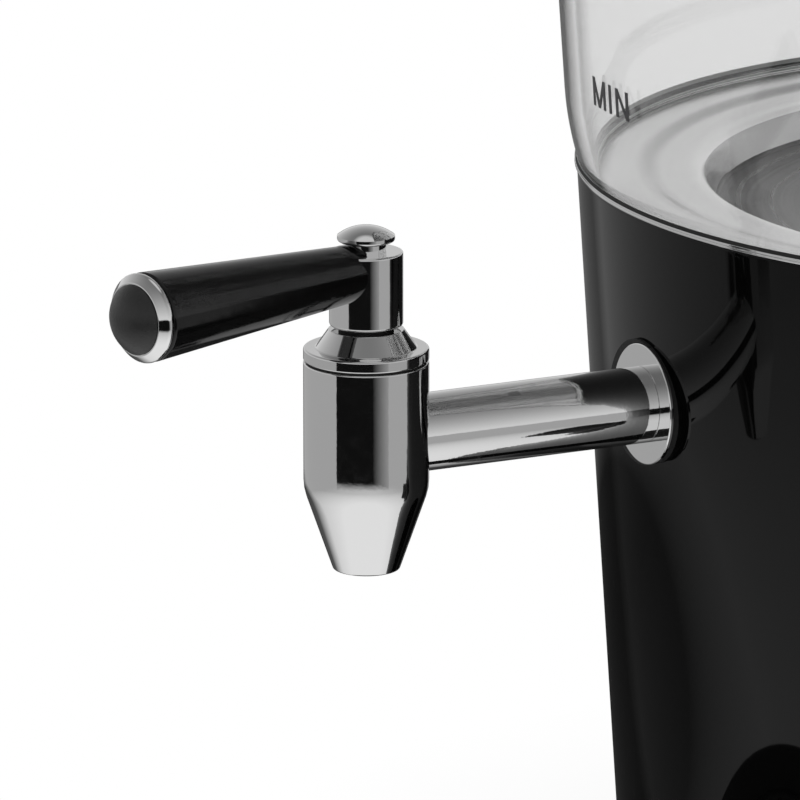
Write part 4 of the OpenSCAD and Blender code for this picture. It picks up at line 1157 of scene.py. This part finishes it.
@dataclass
class LeverTap:
    """The chrome tap: flange, pipe, valve, hub, grip and cap."""

    bench: Bench
    axis_z: float = 114.5
    reach: float = TAP_REACH
    turn: float = 16.0
    pipe_r: float = 6.8
    pipe_bore: float = 3.2
    pipe_in: float = 8.0
    tail_r: float = 5.0
    tail_from: float = 80.0
    fit: float = 0.05
    flange_r: float = 10.8
    flange_from: float = 98.7
    flange_to: float = 99.5
    valve_r: float = 10.9
    valve_top: float = 14.0
    shoulder_z: float = -8.5
    outlet_z: float = -23.1
    outlet_r: float = 5.8
    outlet_bore: float = 4.4
    chamber_r: float = 7.0
    chamber_z: float = -9.5
    stem_r: float = 3.05
    spigot_r: float = 6.95
    bonnet_z: tuple[float, float, float, float] = (8.8, 14.4, 16.5, 19.8)
    bonnet_cone: tuple[float, float] = (8.8, 6.5)
    ring_pocket: tuple[float, float] = (4.9, 19.4)
    hub_z: float = 20.4
    hub_r: float = 6.4
    hub_h: float = 13.1
    grip_h: float = 9.7
    grip_r0: float = 4.7
    grip_flare: float = 0.06
    grip_from: float = 2.8
    grip_to: float = 49.6
    rod_r: float = 1.85
    end_r: float = 6.0

    def at_valve(self) -> Matrix:
        """The pipe's height on the valve's axis."""
        return move(0, -self.reach, self.axis_z)

    def at_lever(self) -> Matrix:
        """The lever at rest."""
        return self.at_valve() @ spin(self.turn, "Z")

    def at_grip(self) -> Matrix:
        """The grip's axis, outward."""
        return self.at_lever() @ move(z=self.hub_z + self.grip_h) @ spin(90, "X")

    def grip_r(self, d: float) -> float:
        """Radius of the grip at a distance from the hub's axis."""
        return self.grip_r0 + self.grip_flare * d

    def build(self) -> None:
        """Make and dress the tap."""
        self.outlet()
        self.valve()
        self.lever()
        look = self.bench.finish
        self.bench.dress(look.rubber, "tap_gasket", "tap_washer", "bonnet_seal", "plug_rings", "neck_ring")
        self.bench.dress(look.brass, "tap_locknut", "valve_plug")
        self.bench.dress(look.inner_steel, "lever_rod")

    def outlet(self) -> None:
        """Flange and pipe."""
        look = self.bench.finish
        hole, end = self.tail_r + self.fit, self.reach - self.pipe_in
        flange = [
            Corner(hole, self.flange_from), Corner(self.flange_r, self.flange_from, 0.2),
            Corner(self.flange_r, self.flange_to, 0.2), Corner(hole, self.flange_to),
        ]
        piece = lathe("flange_disc", flange, radial(0, self.axis_z), look.chrome)
        self.bench.place(piece, Ride.BASE, Slot.CHROME, "tap_flange")
        pipe = [
            Corner(self.pipe_bore, self.tail_from), Corner(self.tail_r, self.tail_from, 0.3),
            Corner(self.tail_r, self.flange_to), Corner(self.pipe_r, self.flange_to, 0.15),
            Corner(self.pipe_r, end, 0.15), Corner(self.pipe_bore, end),
        ]
        piece = lathe("outlet_pipe", pipe, radial(0, self.axis_z), look.chrome)
        self.bench.place(piece, Ride.BASE, Slot.CHROME, "tap_pipe")

    def valve(self) -> None:
        """Valve body and bonnet."""
        look = self.bench.finish
        bore, chamber, r = self.outlet_bore, self.chamber_r, self.valve_r
        body = [
            Corner(bore, self.outlet_z, 0.2), Corner(self.outlet_r, self.outlet_z, 0.45),
            Corner(r, self.shoulder_z, 9.0), Corner(r, self.valve_top, 0.25), Corner(chamber, self.valve_top),
            Corner(chamber, self.chamber_z), Corner(bore, self.chamber_z),
        ]
        piece = lathe("valve_barrel", body, self.at_valve(), look.chrome)
        self.bench.place(piece, Ride.BASE, Slot.CHROME, "valve_body")
        low, seam, ledge, top = self.bonnet_z
        (cone_r, neck_r), (pocket_r, pocket_z) = self.bonnet_cone, self.ring_pocket
        bonnet = [
            Corner(self.stem_r, low), Corner(self.spigot_r, low), Corner(self.spigot_r, seam), Corner(r, seam, 0.25),
            Corner(r, ledge, 0.4), Corner(cone_r, ledge, 0.3), Corner(neck_r, top, 0.2), Corner(pocket_r, top),
            Corner(pocket_r, pocket_z), Corner(self.stem_r, pocket_z),
        ]
        piece = lathe("valve_crown", bonnet, self.at_valve(), look.soft_chrome)
        self.bench.place(piece, Ride.BASE, Slot.CHROME, "valve_bonnet")

    def lever(self) -> None:
        """Hub, cap, grip, ring and end cap."""
        look = self.bench.finish
        top = self.hub_z + self.hub_h
        hub = [
            Corner(0, self.hub_z), Corner(self.hub_r, self.hub_z, 0.6), Corner(self.hub_r, top, 0.35), Corner(0, top),
        ]
        piece = lathe("hub_drum", hub, self.at_lever(), look.chrome, closed=False)
        self.bench.place(piece, Ride.LEVER, Slot.CHROME, "lever_hub")
        peg_r, peg_l, neck_r, neck_h, cap_r, rim, crown = 1.5, 1.3, 3.5, 1.8, 5.0, 1.0, 1.7
        under = top + neck_h
        cap = [
            Corner(0, top - peg_l), Corner(peg_r, top - peg_l), Corner(peg_r, top), Corner(neck_r, top),
            Corner(neck_r, under, 0.2), Corner(cap_r, under, 0.6),
        ] + dome(cap_r, under + rim, crown)
        piece = lathe("hub_button", cap, self.at_lever(), look.chrome, closed=False)
        self.bench.place(piece, Ride.LEVER, Slot.CHROME, "hub_cap")
        grip = [
            Corner(self.rod_r, self.grip_from), Corner(self.grip_r(self.grip_from), self.grip_from),
            Corner(self.grip_r(self.grip_to), self.grip_to, 0.4), Corner(self.rod_r, self.grip_to),
        ]
        piece = lathe("grip_sleeve", grip, self.at_grip(), look.phenolic)
        self.bench.place(piece, Ride.LEVER, Slot.BLACK_GLOSS, "lever_grip")
        self.grip_end()

    def grip_end(self) -> None:
        """The bright ring and the black button at the grip's end."""
        look = self.bench.finish
        start, out, r, fit = self.grip_to, self.grip_r(self.grip_to), self.end_r, self.fit
        ring_l, socket_d, plug_in, bead_r, bead_z = 2.6, 1.0, 1.8, 0.8, 0.9
        tip, plug = start + ring_l, r - plug_in
        floor = tip - socket_d
        arc = [math.radians(a) for a in range(-60, 46, 15)]
        bead = [Corner(out - bead_r + bead_r * math.cos(a), start + bead_z + bead_r * math.sin(a)) for a in arc]
        ring = [Corner(plug + fit, start), Corner(out - 0.6, start)] + bead + [
            Corner(r + 0.7, tip - 0.4, 0.4), Corner(r + 0.3, tip, 0.2), Corner(r + fit, tip), Corner(r + fit, floor),
            Corner(plug + fit, floor),
        ]
        piece = lathe("grip_collar", ring, self.at_grip(), look.chrome)
        self.bench.place(piece, Ride.LEVER, Slot.CHROME, "grip_ring")
        gap, rim, crown = 0.2, 1.2, 3.1
        button = [
            Corner(0, start + gap), Corner(plug, start + gap), Corner(plug, floor), Corner(r, floor),
        ] + dome(r, floor + rim, crown)
        piece = lathe("grip_button", button, self.at_grip(), look.satin_black, closed=False)
        self.bench.place(piece, Ride.LEVER, Slot.BLACK_PLASTIC, "grip_end_cap")


@dataclass
class Lid:
    """The steel lid with its lugs, and the infuser with its cover."""

    bench: Bench
    sheet: float = 1.2
    lid_z: float = 289.2
    lid_r: float = 111.7
    crown: float = 8.2
    spigot_r: Point = (105.08, 103.68)
    spigot_h: float = 8.0
    open_r: float = 46.0
    steam_hole: Point = (2.5, 10.0)
    flange_r: float = 52.4
    cup_r: float = 44.5
    cup_t: float = 0.8
    cup_top: float = 297.4
    cup_floor: float = 197.4
    margin: float = 12.0
    wall_holes: tuple[int, int] = (92, 25)
    wall_hole_r: float = 0.8
    floor_holes: int = 12
    floor_hole: Point = (1.8, 6.0)
    cover_spigot: Point = (42.4, 41.2)
    cover_r: float = 51.0
    knob_z: float = 306.2
    knob_h: float = 18.0
    knob_r: float = 10.5

    def build(self) -> None:
        """Make and dress the lid's pieces."""
        look = self.bench.finish
        self.plate()
        self.infuser()
        self.cover()
        self.knob()
        self.bench.dress(look.satin_black, "lid_lugs", edge=1.0)
        self.bench.dress(look.silicone, "lid_seal")
        self.bench.dress(look.chrome, "cap_knob_ring", edge=0.3)
        self.bench.dress(look.inner_steel, "cap_screw")

    def plate(self) -> None:
        """The spun lid with its soft dome, its seat for the infuser and its steam hole."""
        z, r, sheet = self.lid_z, self.lid_r, self.sheet
        top, seat_r, mid_r = z + self.crown, self.flange_r + 0.6, r - 31.7
        seat_z, mid_z = top - 1.0, z + 0.73 * self.crown
        (spigot, inner), foot = self.spigot_r, z - self.spigot_h
        sweep = 160.0
        corners = [
            Corner(r, z, 0.4), Corner(r, z + sheet, 0.5), Corner(r - 7, z + 2.3, 12.0), Corner(mid_r, mid_z, sweep),
            Corner(seat_r + 3, top, 3.0), Corner(seat_r, top, 0.25), Corner(seat_r, seat_z, 0.2),
            Corner(self.open_r, seat_z, 0.25), Corner(self.open_r, seat_z - sheet, 0.25),
            Corner(seat_r + 1, seat_z - sheet), Corner(mid_r, mid_z - sheet, sweep), Corner(inner, z + 1, 2.0),
            Corner(inner, foot, 0.3), Corner(spigot, foot, 0.3), Corner(spigot, z),
        ]
        piece = lathe("spun_lid", corners, Matrix(), self.bench.finish.lid_steel, steps=WIDE_STEPS)
        drilled(piece, [(move(0, mid_r, mid_z), *self.steam_hole)])
        self.bench.place(piece, Ride.LID, Slot.STEEL, "lid_plate")

    def infuser(self) -> None:
        """The infuser: a turned cup whose wall is finely perforated sheet."""
        look = self.bench.finish
        r, t, low, top = self.cup_r, self.cup_t, self.cup_floor, self.cup_top
        count, rows = self.wall_holes
        holes = self.floor_holes
        foot = low + self.margin
        head = top - 1.0 - self.margin
        piece = lathe("perforated_infuser", [
            Corner(0, low), Corner(r, low, 1.5), Corner(r, foot), Corner(r - t, foot), Corner(r - t, low + t, 0.8),
            Corner(0, low + t),
        ], Matrix(), look.lid_steel, closed=False, steps=2 * count)
        drilled(piece, [(spin(360 * i / holes, "Z") @ move(0.6 * r, 0, low), *self.floor_hole) for i in range(holes)])
        collar = lathe("infuser_collar", [
            Corner(r - t, head), Corner(r, head), Corner(r, top - 1, 0.8), Corner(self.flange_r, top - 1, 0.3),
            Corner(self.flange_r, top, 0.3), Corner(r - t, top, 0.6),
        ], Matrix(), look.lid_steel, steps=2 * count)
        join_in(piece, collar)
        rise = (head - foot) / rows
        middle = r - t / 2
        wide = 2 * middle * math.tan(math.pi / count)
        shape = self.sheet_cell(wide, rise, t, self.wall_hole_r)
        shape.data.transform(Matrix.Translation((0, 0, (foot + rise / 2) * MM)))
        self.bench.rings.add(piece, shape, Count=count, Rows=rows, Radius=middle * MM, Step=2 * math.pi / count,
                             Rise=rise * MM, Finish=look.lid_steel)
        self.bench.place(piece, Ride.INFUSER, Slot.STEEL, "infuser_basket")

    def sheet_cell(self, wide: float, tall: float, thick: float, hole_r: float) -> bpy.types.Object:
        """One cell of perforated sheet that faces along X: a plate with a round hole.

        Args:
            wide: Its size along Y.
            tall: Its size along Z.
            thick: The sheet along X.
            hole_r: Radius of the hole.

        Returns:
            The cell about the origin.
        """
        work = bmesh.new()
        around = [(1, 0), (1, 1), (0, 1), (-1, 1), (-1, 0), (-1, -1), (0, -1), (1, -1)]
        rim = [(a * wide / 2, b * tall / 2) for a, b in around]
        turns = [math.pi * k / 4 for k in range(8)]
        hole = [(hole_r * math.cos(a), hole_r * math.sin(a)) for a in turns]
        loops = [[work.verts.new(Vector((x, y, z)) * MM) for y, z in loop]
                 for x in (-thick / 2, thick / 2) for loop in (rim, hole)]
        for first, second in ((0, 1), (1, 3), (3, 2)):
            for k in range(8):
                n = (k + 1) % 8
                work.faces.new([loops[first][k], loops[first][n], loops[second][n], loops[second][k]])
        return finish_mesh("sheet_cell", work, self.bench.finish.lid_steel)

    def cover(self) -> None:
        """The infuser's domed cover."""
        z, sheet, edge_r = self.cup_top, self.sheet, self.cover_r
        (spigot, inner), foot = self.cover_spigot, z - 0.8
        under, top, flat_r, sweep = z + 5.6, z + 6.8, 12.0, 40.0
        piece = lathe("domed_cover", [
            Corner(0, under), Corner(flat_r, under, sweep), Corner(38.16, z + 3.2, 8.0), Corner(inner, z + 1.4, 0.5),
            Corner(inner, foot, 0.2), Corner(spigot, foot, 0.2), Corner(spigot, z), Corner(edge_r, z, 0.4),
            Corner(edge_r, z + sheet, 0.5), Corner(40.28, z + 4.4, 22.0), Corner(flat_r, top, sweep), Corner(0, top),
        ], Matrix(), self.bench.finish.lid_steel, closed=False, steps=WIDE_STEPS)
        self.bench.place(piece, Ride.COVER, Slot.STEEL, "infuser_cap")

    def knob(self) -> None:
        """The waisted knob on the cover."""
        z, tall, r = self.knob_z, self.knob_h, self.knob_r
        piece = lathe("waisted_knob", [
            Corner(0, z), Corner(8.0, z, 0.3), Corner(0.62 * r, z + 0.35 * tall, 7.0),
            Corner(r, z + 0.72 * tall, 3.5), Corner(r, z + tall, 3.7), Corner(0, z + tall),
        ], Matrix(), self.bench.finish.phenolic, closed=False)
        self.bench.place(piece, Ride.COVER, Slot.BLACK_GLOSS, "cap_knob")


@dataclass
class Controls:
    """The control knob, power button, lamp and inlet."""

    bench: Bench
    dial_az: float = 50.0
    dial_z: float = 62.0
    dial_face: float = 97.04
    dial_back: float = 97.54
    dial_r: float = 17.0
    dial_h: float = 16.0
    cap_r: float = 9.05
    button_az: float = 77.0
    button_z: float = 54.0
    button_r: float = 5.4
    button_front: float = 98.86
    marks: int = 13
    mark_step: float = -20.0
    tick: Spot = (1.6, 0.45, 0.12)
    tick_r: float = 18.5
    figure_h: float = 2.2
    figure_r: float = 20.9
    print_off: float = 0.05
    flutes: int = 36

    def build(self) -> None:
        """Make and dress the controls."""
        look = self.bench.finish
        self.dial()
        self.scale()
        self.symbol()
        self.bench.dress(look.satin_black, "knob_bezel", "power_inlet", edge=0.4)
        self.bench.dress(look.satin_black, "button_nut")
        self.bench.dress(look.phenolic, "power_button", edge=0.2)
        self.bench.dress(look.chrome, "knob_cap", "button_bezel", "lamp_bezel", edge=0.2)
        self.bench.dress(look.inner_steel, "knob_shaft")
        self.bench.dress(look.lens, "lamp_lens")
        self.bench.dress(look.brass, "inlet_pins", edge=0.2)

    def at_dial(self) -> Matrix:
        """The dial's axis: local Z runs outward."""
        return radial(self.dial_az, self.dial_z)

    def dial(self) -> None:
        """The control knob: skirt, fluted grip and pointer, hollow for its cap and shaft."""
        look = self.bench.finish
        back, front = self.dial_back, self.dial_back + self.dial_h
        r, shaft, cap_t = self.dial_r, 3.05, 1.0
        grip, shoulder = r - 3.2, back + 3.0
        piece = lathe("fluted_knob", [
            Corner(shaft, back), Corner(r, back, 0.3), Corner(r, shoulder, 0.7), Corner(grip, shoulder, 0.5),
            Corner(grip - 0.9, front - 0.4, 1.2), Corner(self.cap_r, front, 0.3), Corner(self.cap_r, front - cap_t),
            Corner(shaft, front - cap_t),
        ], Matrix(), look.phenolic)
        ridge_r, foot, lean, shift = 0.75, shoulder - 0.5, 4.0, 7.2
        ridge = lathe("ridge", [
            Corner(0, foot), Corner(ridge_r, foot), Corner(ridge_r, front - 1.6, 0.7), Corner(0, front - 0.9),
        ], Matrix(), look.phenolic, closed=False, steps=12)
        # Leaning about the body's axis moves a ridge inward, and the shift brings it back
        ridge.data.transform(spin(-lean, "Y"))
        ridge.data.transform(Matrix.Translation((shift * MM, 0, 0)))
        self.bench.rings.add(piece, ridge, Count=self.flutes, Radius=(grip - 0.5) * MM,
                             Step=2 * math.pi / self.flutes, Finish=look.phenolic)
        seat(piece, self.at_dial())
        self.bench.place(piece, Ride.DIAL, Slot.BLACK_GLOSS, "control_knob")
        middle = self.at_dial() @ move(0, (self.cap_r + grip) / 2, front - 0.2)
        mark = finish_mesh("pointer", slab(middle, 1.2, grip - self.cap_r - 1.0, 0.7), look.pale_ink)
        self.bench.place(mark, Ride.DIAL, Slot.BLACK_GLOSS)

    def scale(self) -> None:
        """Tick marks and figures printed on the bezel, clockwise from the top."""
        look = self.bench.finish
        piece = add_object("dial_scale", bpy.data.meshes.new("dial_scale"))
        tick = finish_mesh("tick", slab(move(z=self.dial_face), *self.tick), look.pale_ink)
        self.bench.rings.add(piece, tick, Count=self.marks, Radius=self.tick_r * MM, Start=math.pi / 2,
                             Step=math.radians(self.mark_step), Finish=look.pale_ink)
        seat(piece, self.at_dial())
        figures = []
        for i in range(self.marks // 2 + 1):
            a = math.radians(90 + 2 * i * self.mark_step)
            spot = move(self.figure_r * math.cos(a), self.figure_r * math.sin(a), self.dial_face + self.print_off)
            figures.append(lettering(f"figure_{i}", str(i), self.figure_h, self.at_dial() @ spot, look.pale_ink))
        join_in(piece, *figures)
        self.bench.place(piece, Ride.BASE, Slot.IVORY_PLASTIC)

    def symbol(self) -> None:
        """A plain ring and bar printed in the button's dished face."""
        work = bmesh.new()
        place = radial(self.button_az, self.button_z)
        rim, dish, off = self.button_r - 0.6, 0.4, 0.03

        def spot(x: float, y: float) -> bmesh.types.BMVert:
            """A point just off the dished face."""
            z = self.button_front - dish * (1 - math.hypot(x, y) / rim) + off
            return work.verts.new(place @ Vector((x, y, z)) * MM)

        steps, gap, ring = 40, math.radians(35), (1.9, 2.4)
        parts, half, low, tall = 6, 0.25, 0.6, 2.2
        turns = [math.pi / 2 + gap + (2 * math.pi - 2 * gap) * i / steps for i in range(steps + 1)]
        rows = [[spot(r * math.cos(a), r * math.sin(a)) for r in ring] for a in turns]
        bar = [[spot(x, low + tall * i / parts) for x in (half, -half)] for i in range(parts + 1)]
        for strip in (rows, bar):
            for first, second in zip(strip, strip[1:]):
                work.faces.new([first[0], first[1], second[1], second[0]])
        piece = finish_mesh("power_symbol", work, self.bench.finish.pale_ink)
        self.bench.place(piece, Ride.KEY, Slot.IVORY_PLASTIC)


@dataclass
class DripTray:
    """The round tray and its grille."""

    bench: Bench

    def build(self) -> None:
        """Dress the tray."""
        self.bench.dress(self.bench.finish.satin_black, "drip_tray", edge=0.5)
        self.bench.dress(self.bench.finish.enamel, "drip_grille", edge=0.3)


@dataclass
class Studio:
    """Camera, pale floor, soft lamps and the dark card that the chrome mirrors.

    Lengths are in metres here, apart from those with mm in their name, and angles of the floor and the card are in
    degrees. A span holds two limits of a value and the two levels that they lead to.
    """

    lens_mm: float = 358.15
    sensor_mm: float = 36.0
    clip: Point = (0.05, 60.0)
    camera_mm: Spot = (1196.71, -733.02, 471.39)
    camera_pitch: float = 0.2573
    camera_turn: float = 1.1153
    room: Span = (0.05, 0.85, 0.8, 0.22)
    overhead: Span = (0.90, 0.96, 0.0, 1.0)
    overhead_level: float = 0.7
    behind_glass: float = 0.6
    matt_level: float = 0.55
    floor_half: float = 12.0
    floor_z: float = -0.0004
    # What mirrors see of the floor: a painted pool of light by the tap, a painted shadow of the body, and a painted
    # dim sector behind it
    lit_at: Spot = (0.07, -0.19, 0.0)
    lit: Span = (0.08, 0.32, 1.0, 0.46)
    shade_at: Spot = (-0.205, -0.075, 0.0)
    shade: Span = (0.14, 0.22, 0.15, 1.0)
    dim_from: Spot = (0.0, -0.12, 0.0)
    dim_way: float = 162.0
    dim_edges: Point = (19.0, 13.0)
    dim_level: float = 0.36
    shadow: Span = (0.10, 0.18, 0.8, 1.0)
    card_at: Spot = (0.0, -0.15, 0.002)
    card_reach: Point = (0.33, 5.0)
    card_turns: Point = (-50.0, 46.0)
    card_steps: int = 48
    card_pale: Span = (17.0, 46.0, 0.006, 0.36)
    card_edge: Point = (0.06, 0.5)
    lamp_aim: Spot = (0.0, -0.05, 0.13)
    lamps: list[tuple[str, Spot, float, float]] = field(default_factory=lambda: [
        ("key_panel", (-0.9, -1.1, 1.5), 1.2, 14.0),
        ("fill_panel", (1.3, 0.4, 1.3), 1.4, 9.0),
        ("top_panel", (0.0, 0.0, 1.9), 1.6, 12.0),
    ])

    def camera(self) -> None:
        """The camera at the photograph's viewing angle."""
        data = bpy.data.cameras.new("camera")
        data.lens = self.lens_mm
        data.sensor_width = self.sensor_mm
        data.clip_start, data.clip_end = self.clip
        camera = add_object("camera", data)
        camera.location = Vector(self.camera_mm) * MM
        camera.rotation_euler = (math.pi / 2 - self.camera_pitch, 0.0, self.camera_turn)
        bpy.context.scene.camera = camera

    def build(self) -> None:
        """Light the scene."""
        bpy.context.scene.view_settings.view_transform = "Standard"
        self.world()
        self.floor()
        self.dark_card()
        for name, spot, size, power in self.lamps:
            self.lamp(name, spot, size, power)

    def straight_rays(self, tree: bpy.types.NodeTree, mirrored_share: float = 1.0) -> bpy.types.NodeSocket:
        """One for rays from the camera and through glass, less for those that were mirrored before the glass.

        Args:
            tree: The shader's node tree.
            mirrored_share: The value for a ray through glass that was mirrored before.

        Returns:
            The socket with the value.
        """
        path = put(tree, "ShaderNodeLightPath")
        direct = put(tree, "ShaderNodeMath", {
            0: path.outputs["Is Camera Ray"], 1: path.outputs["Is Transmission Ray"],
        }, operation="MAXIMUM")
        share = put(tree, "ShaderNodeMapRange", {
            "Value": path.outputs["Glossy Depth"], "From Min": 0.0, "From Max": 1.0,
            "To Min": 1.0, "To Max": mirrored_share,
        })
        both = put(tree, "ShaderNodeMath", {0: direct.outputs["Value"], 1: share.outputs["Result"]},
                   operation="MULTIPLY")
        return both.outputs["Value"]

    def world(self) -> None:
        """White to the eye; mirrors see it dimmer towards the ceiling, with a soft light overhead."""
        world = bpy.data.worlds.new("pale_room")
        tree = bare_tree(world)
        path = put(tree, "ShaderNodeLightPath")
        spot = put(tree, "ShaderNodeTexCoord")
        height = put(tree, "ShaderNodeSeparateXYZ", {"Vector": spot.outputs["Generated"]}).outputs["Z"]
        tone = put(tree, "ShaderNodeMapRange", {"Value": height, **dict(zip(SPAN, self.room))})
        overhead = put(tree, "ShaderNodeMapRange", {"Value": height, **dict(zip(SPAN, self.overhead))})
        mirrored = put(tree, "ShaderNodeMix", {
            "Factor": overhead.outputs["Result"], "A": tone.outputs["Result"], "B": self.overhead_level,
        })
        shown = put(tree, "ShaderNodeMix", {
            "Factor": self.straight_rays(tree, self.behind_glass), "A": mirrored.outputs["Result"], "B": 1.0,
        })
        diffuse = put(tree, "ShaderNodeMix", {
            "Factor": path.outputs["Is Diffuse Ray"], "A": shown.outputs["Result"], "B": self.matt_level,
        })
        back = put(tree, "ShaderNodeBackground", {"Color": linear(WHITE), "Strength": diffuse.outputs["Result"]})
        put(tree, "ShaderNodeOutputWorld", {"Surface": back.outputs["Background"]})
        bpy.context.scene.world = world

    def floor(self) -> None:
        """A plain white floor with a trace of the object's shadow; mirrors see it with a painted pool of light by the
        tap and painted shade behind and left of the body.
        """
        h, z = self.floor_half, self.floor_z
        mesh = bpy.data.meshes.new("floor")
        mesh.from_pydata([(-h, -h, z), (h, -h, z), (h, h, z), (-h, h, z)], [], [(0, 1, 2, 3)])
        floor = add_object("floor", mesh)
        made = bpy.data.materials.new("white_sweep")
        tree = bare_tree(made)
        path = put(tree, "ShaderNodeLightPath")
        matt = put(tree, "ShaderNodeBsdfDiffuse", {"Color": linear("#f2f2f2")})
        at = put(tree, "ShaderNodeTexCoord").outputs["Object"]
        reach = put(tree, "ShaderNodeVectorMath", {0: at}, operation="LENGTH")
        # Painted light for mirrors: a pool of light round the tap, a shadow of the body and a dimmer sector behind
        by_tap = put(tree, "ShaderNodeVectorMath", {0: at, 1: self.lit_at}, operation="DISTANCE")
        lit = put(tree, "ShaderNodeMapRange", {"Value": by_tap.outputs["Value"], **dict(zip(SPAN, self.lit))})
        by_shade = put(tree, "ShaderNodeVectorMath", {0: at, 1: self.shade_at}, operation="DISTANCE")
        shade = put(tree, "ShaderNodeMapRange", {"Value": by_shade.outputs["Value"], **dict(zip(SPAN, self.shade))})
        outward = put(tree, "ShaderNodeVectorMath", {0: at, 1: self.dim_from}, operation="SUBTRACT")
        way = put(tree, "ShaderNodeVectorMath", {0: outward.outputs["Vector"]}, operation="NORMALIZE")
        flag = math.radians(self.dim_way)
        behind = put(tree, "ShaderNodeVectorMath", {
            0: way.outputs["Vector"], 1: (math.cos(flag), math.sin(flag), 0.0),
        }, operation="DOT_PRODUCT")
        edges = [math.cos(math.radians(a)) for a in self.dim_edges]
        dim = put(tree, "ShaderNodeMapRange", {
            "Value": behind.outputs["Value"], **dict(zip(SPAN, (*edges, 1.0, self.dim_level))),
        })
        shaded = put(tree, "ShaderNodeMath", {0: shade.outputs["Result"], 1: dim.outputs["Result"]},
                     operation="MULTIPLY")
        far = put(tree, "ShaderNodeMath", {0: lit.outputs["Result"], 1: shaded.outputs["Value"]},
                  operation="MULTIPLY")
        straight = self.straight_rays(tree)
        level = put(tree, "ShaderNodeMix", {"Factor": straight, "A": far.outputs["Value"], "B": 1.0})
        glow = put(tree, "ShaderNodeEmission", {"Color": linear(WHITE), "Strength": level.outputs["Result"]})
        matt_ray = put(tree, "ShaderNodeMath", {
            0: path.outputs["Is Diffuse Ray"], 1: path.outputs["Is Shadow Ray"],
        }, operation="MAXIMUM")
        seen = put(tree, "ShaderNodeMath", {0: 1.0, 1: matt_ray.outputs["Value"]}, operation="SUBTRACT")
        kept = put(tree, "ShaderNodeMapRange", {"Value": reach.outputs["Value"], **dict(zip(SPAN, self.shadow))})
        held = put(tree, "ShaderNodeMix", {
            "Factor": path.outputs["Is Camera Ray"], "A": 1.0, "B": kept.outputs["Result"],
        })
        share = put(tree, "ShaderNodeMath", {0: seen.outputs["Value"], 1: held.outputs["Result"]},
                    operation="MULTIPLY")
        mixed = put(tree, "ShaderNodeMixShader", {
            0: share.outputs["Value"], 1: matt.outputs["BSDF"], 2: glow.outputs["Emission"],
        })
        put(tree, "ShaderNodeOutputMaterial", {"Surface": mixed.outputs["Shader"]})
        mesh.materials.append(made)
        floor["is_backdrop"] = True

    def dark_card(self) -> None:
        """A dark card on the floor towards the camera, paler to its right, seen only in reflections."""
        toward = math.atan2(self.camera_mm[1], self.camera_mm[0])
        (near, far), (left, right), steps = self.card_reach, self.card_turns, self.card_steps
        turns = [toward + math.radians(left + (right - left) * i / steps) for i in range(steps + 1)]
        verts = [(r * math.cos(a), r * math.sin(a), 0.0) for r in (near, far) for a in turns]
        row = steps + 1
        faces = [(i, i + 1, row + i + 1, row + i) for i in range(steps)]
        mesh = bpy.data.meshes.new("dark_card")
        mesh.from_pydata(verts, [], faces)
        card = add_object("dark_card", mesh)
        card.location = self.card_at
        made = bpy.data.materials.new("shaded_card")
        tree = bare_tree(made)
        at = put(tree, "ShaderNodeTexCoord").outputs["Object"]
        parts = put(tree, "ShaderNodeSeparateXYZ", {"Vector": at})
        turn = put(tree, "ShaderNodeMath", {0: parts.outputs["Y"], 1: parts.outputs["X"]}, operation="ARCTAN2")
        limits = [toward + math.radians(a) for a in self.card_pale[:2]]
        side = put(tree, "ShaderNodeMapRange", {
            "Value": turn.outputs["Value"], **dict(zip(SPAN, (*limits, *self.card_pale[2:]))),
        })
        reach = put(tree, "ShaderNodeVectorMath", {0: at}, operation="LENGTH")
        edge_w, edge_level = self.card_edge
        close = put(tree, "ShaderNodeMapRange", {
            "Value": reach.outputs["Value"], **dict(zip(SPAN, (near, near + edge_w, edge_level, 0.0))),
        })
        level = put(tree, "ShaderNodeMath", {0: side.outputs["Result"], 1: close.outputs["Result"]},
                    operation="MAXIMUM")
        glow = put(tree, "ShaderNodeEmission", {"Color": linear(WHITE), "Strength": level.outputs["Value"]})
        put(tree, "ShaderNodeOutputMaterial", {"Surface": glow.outputs["Emission"]})
        mesh.materials.append(made)
        card.visible_camera = False
        card.visible_diffuse = False
        card.visible_shadow = False
        card.visible_transmission = False
        card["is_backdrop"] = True

    def lamp(self, name: str, spot: Spot, size: float, power: float) -> None:
        """A soft panel that shines on the tank and doesn't show in mirrors.

        Args:
            name: The lamp's name.
            spot: Its place in metres.
            size: Its width in metres.
            power: Its power in watts.
        """
        data = bpy.data.lights.new(name, "AREA")
        data.shape = "SQUARE"
        data.size = size
        data.energy = power
        lamp = add_object(name, data)
        lamp.location = spot
        aim = Vector(self.lamp_aim) - Vector(spot)
        lamp.rotation_euler = aim.to_track_quat("-Z", "Y").to_euler()
        lamp.visible_glossy = False
        lamp.visible_camera = False
        lamp.visible_transmission = False


def main() -> None:
    """Build the tea maker and its studio."""
    logging.basicConfig(level=logging.INFO, format="%(name)s: %(message)s")
    studio = Studio()
    studio.camera()
    bench = Bench()
    for part in (HeatedBody(bench), GlassTank(bench), LeverTap(bench), Lid(bench), Controls(bench), DripTray(bench)):
        part.build()
        LOG.info("built %s", type(part).__name__)
    studio.build()


if __name__ == "__main__":
    main()
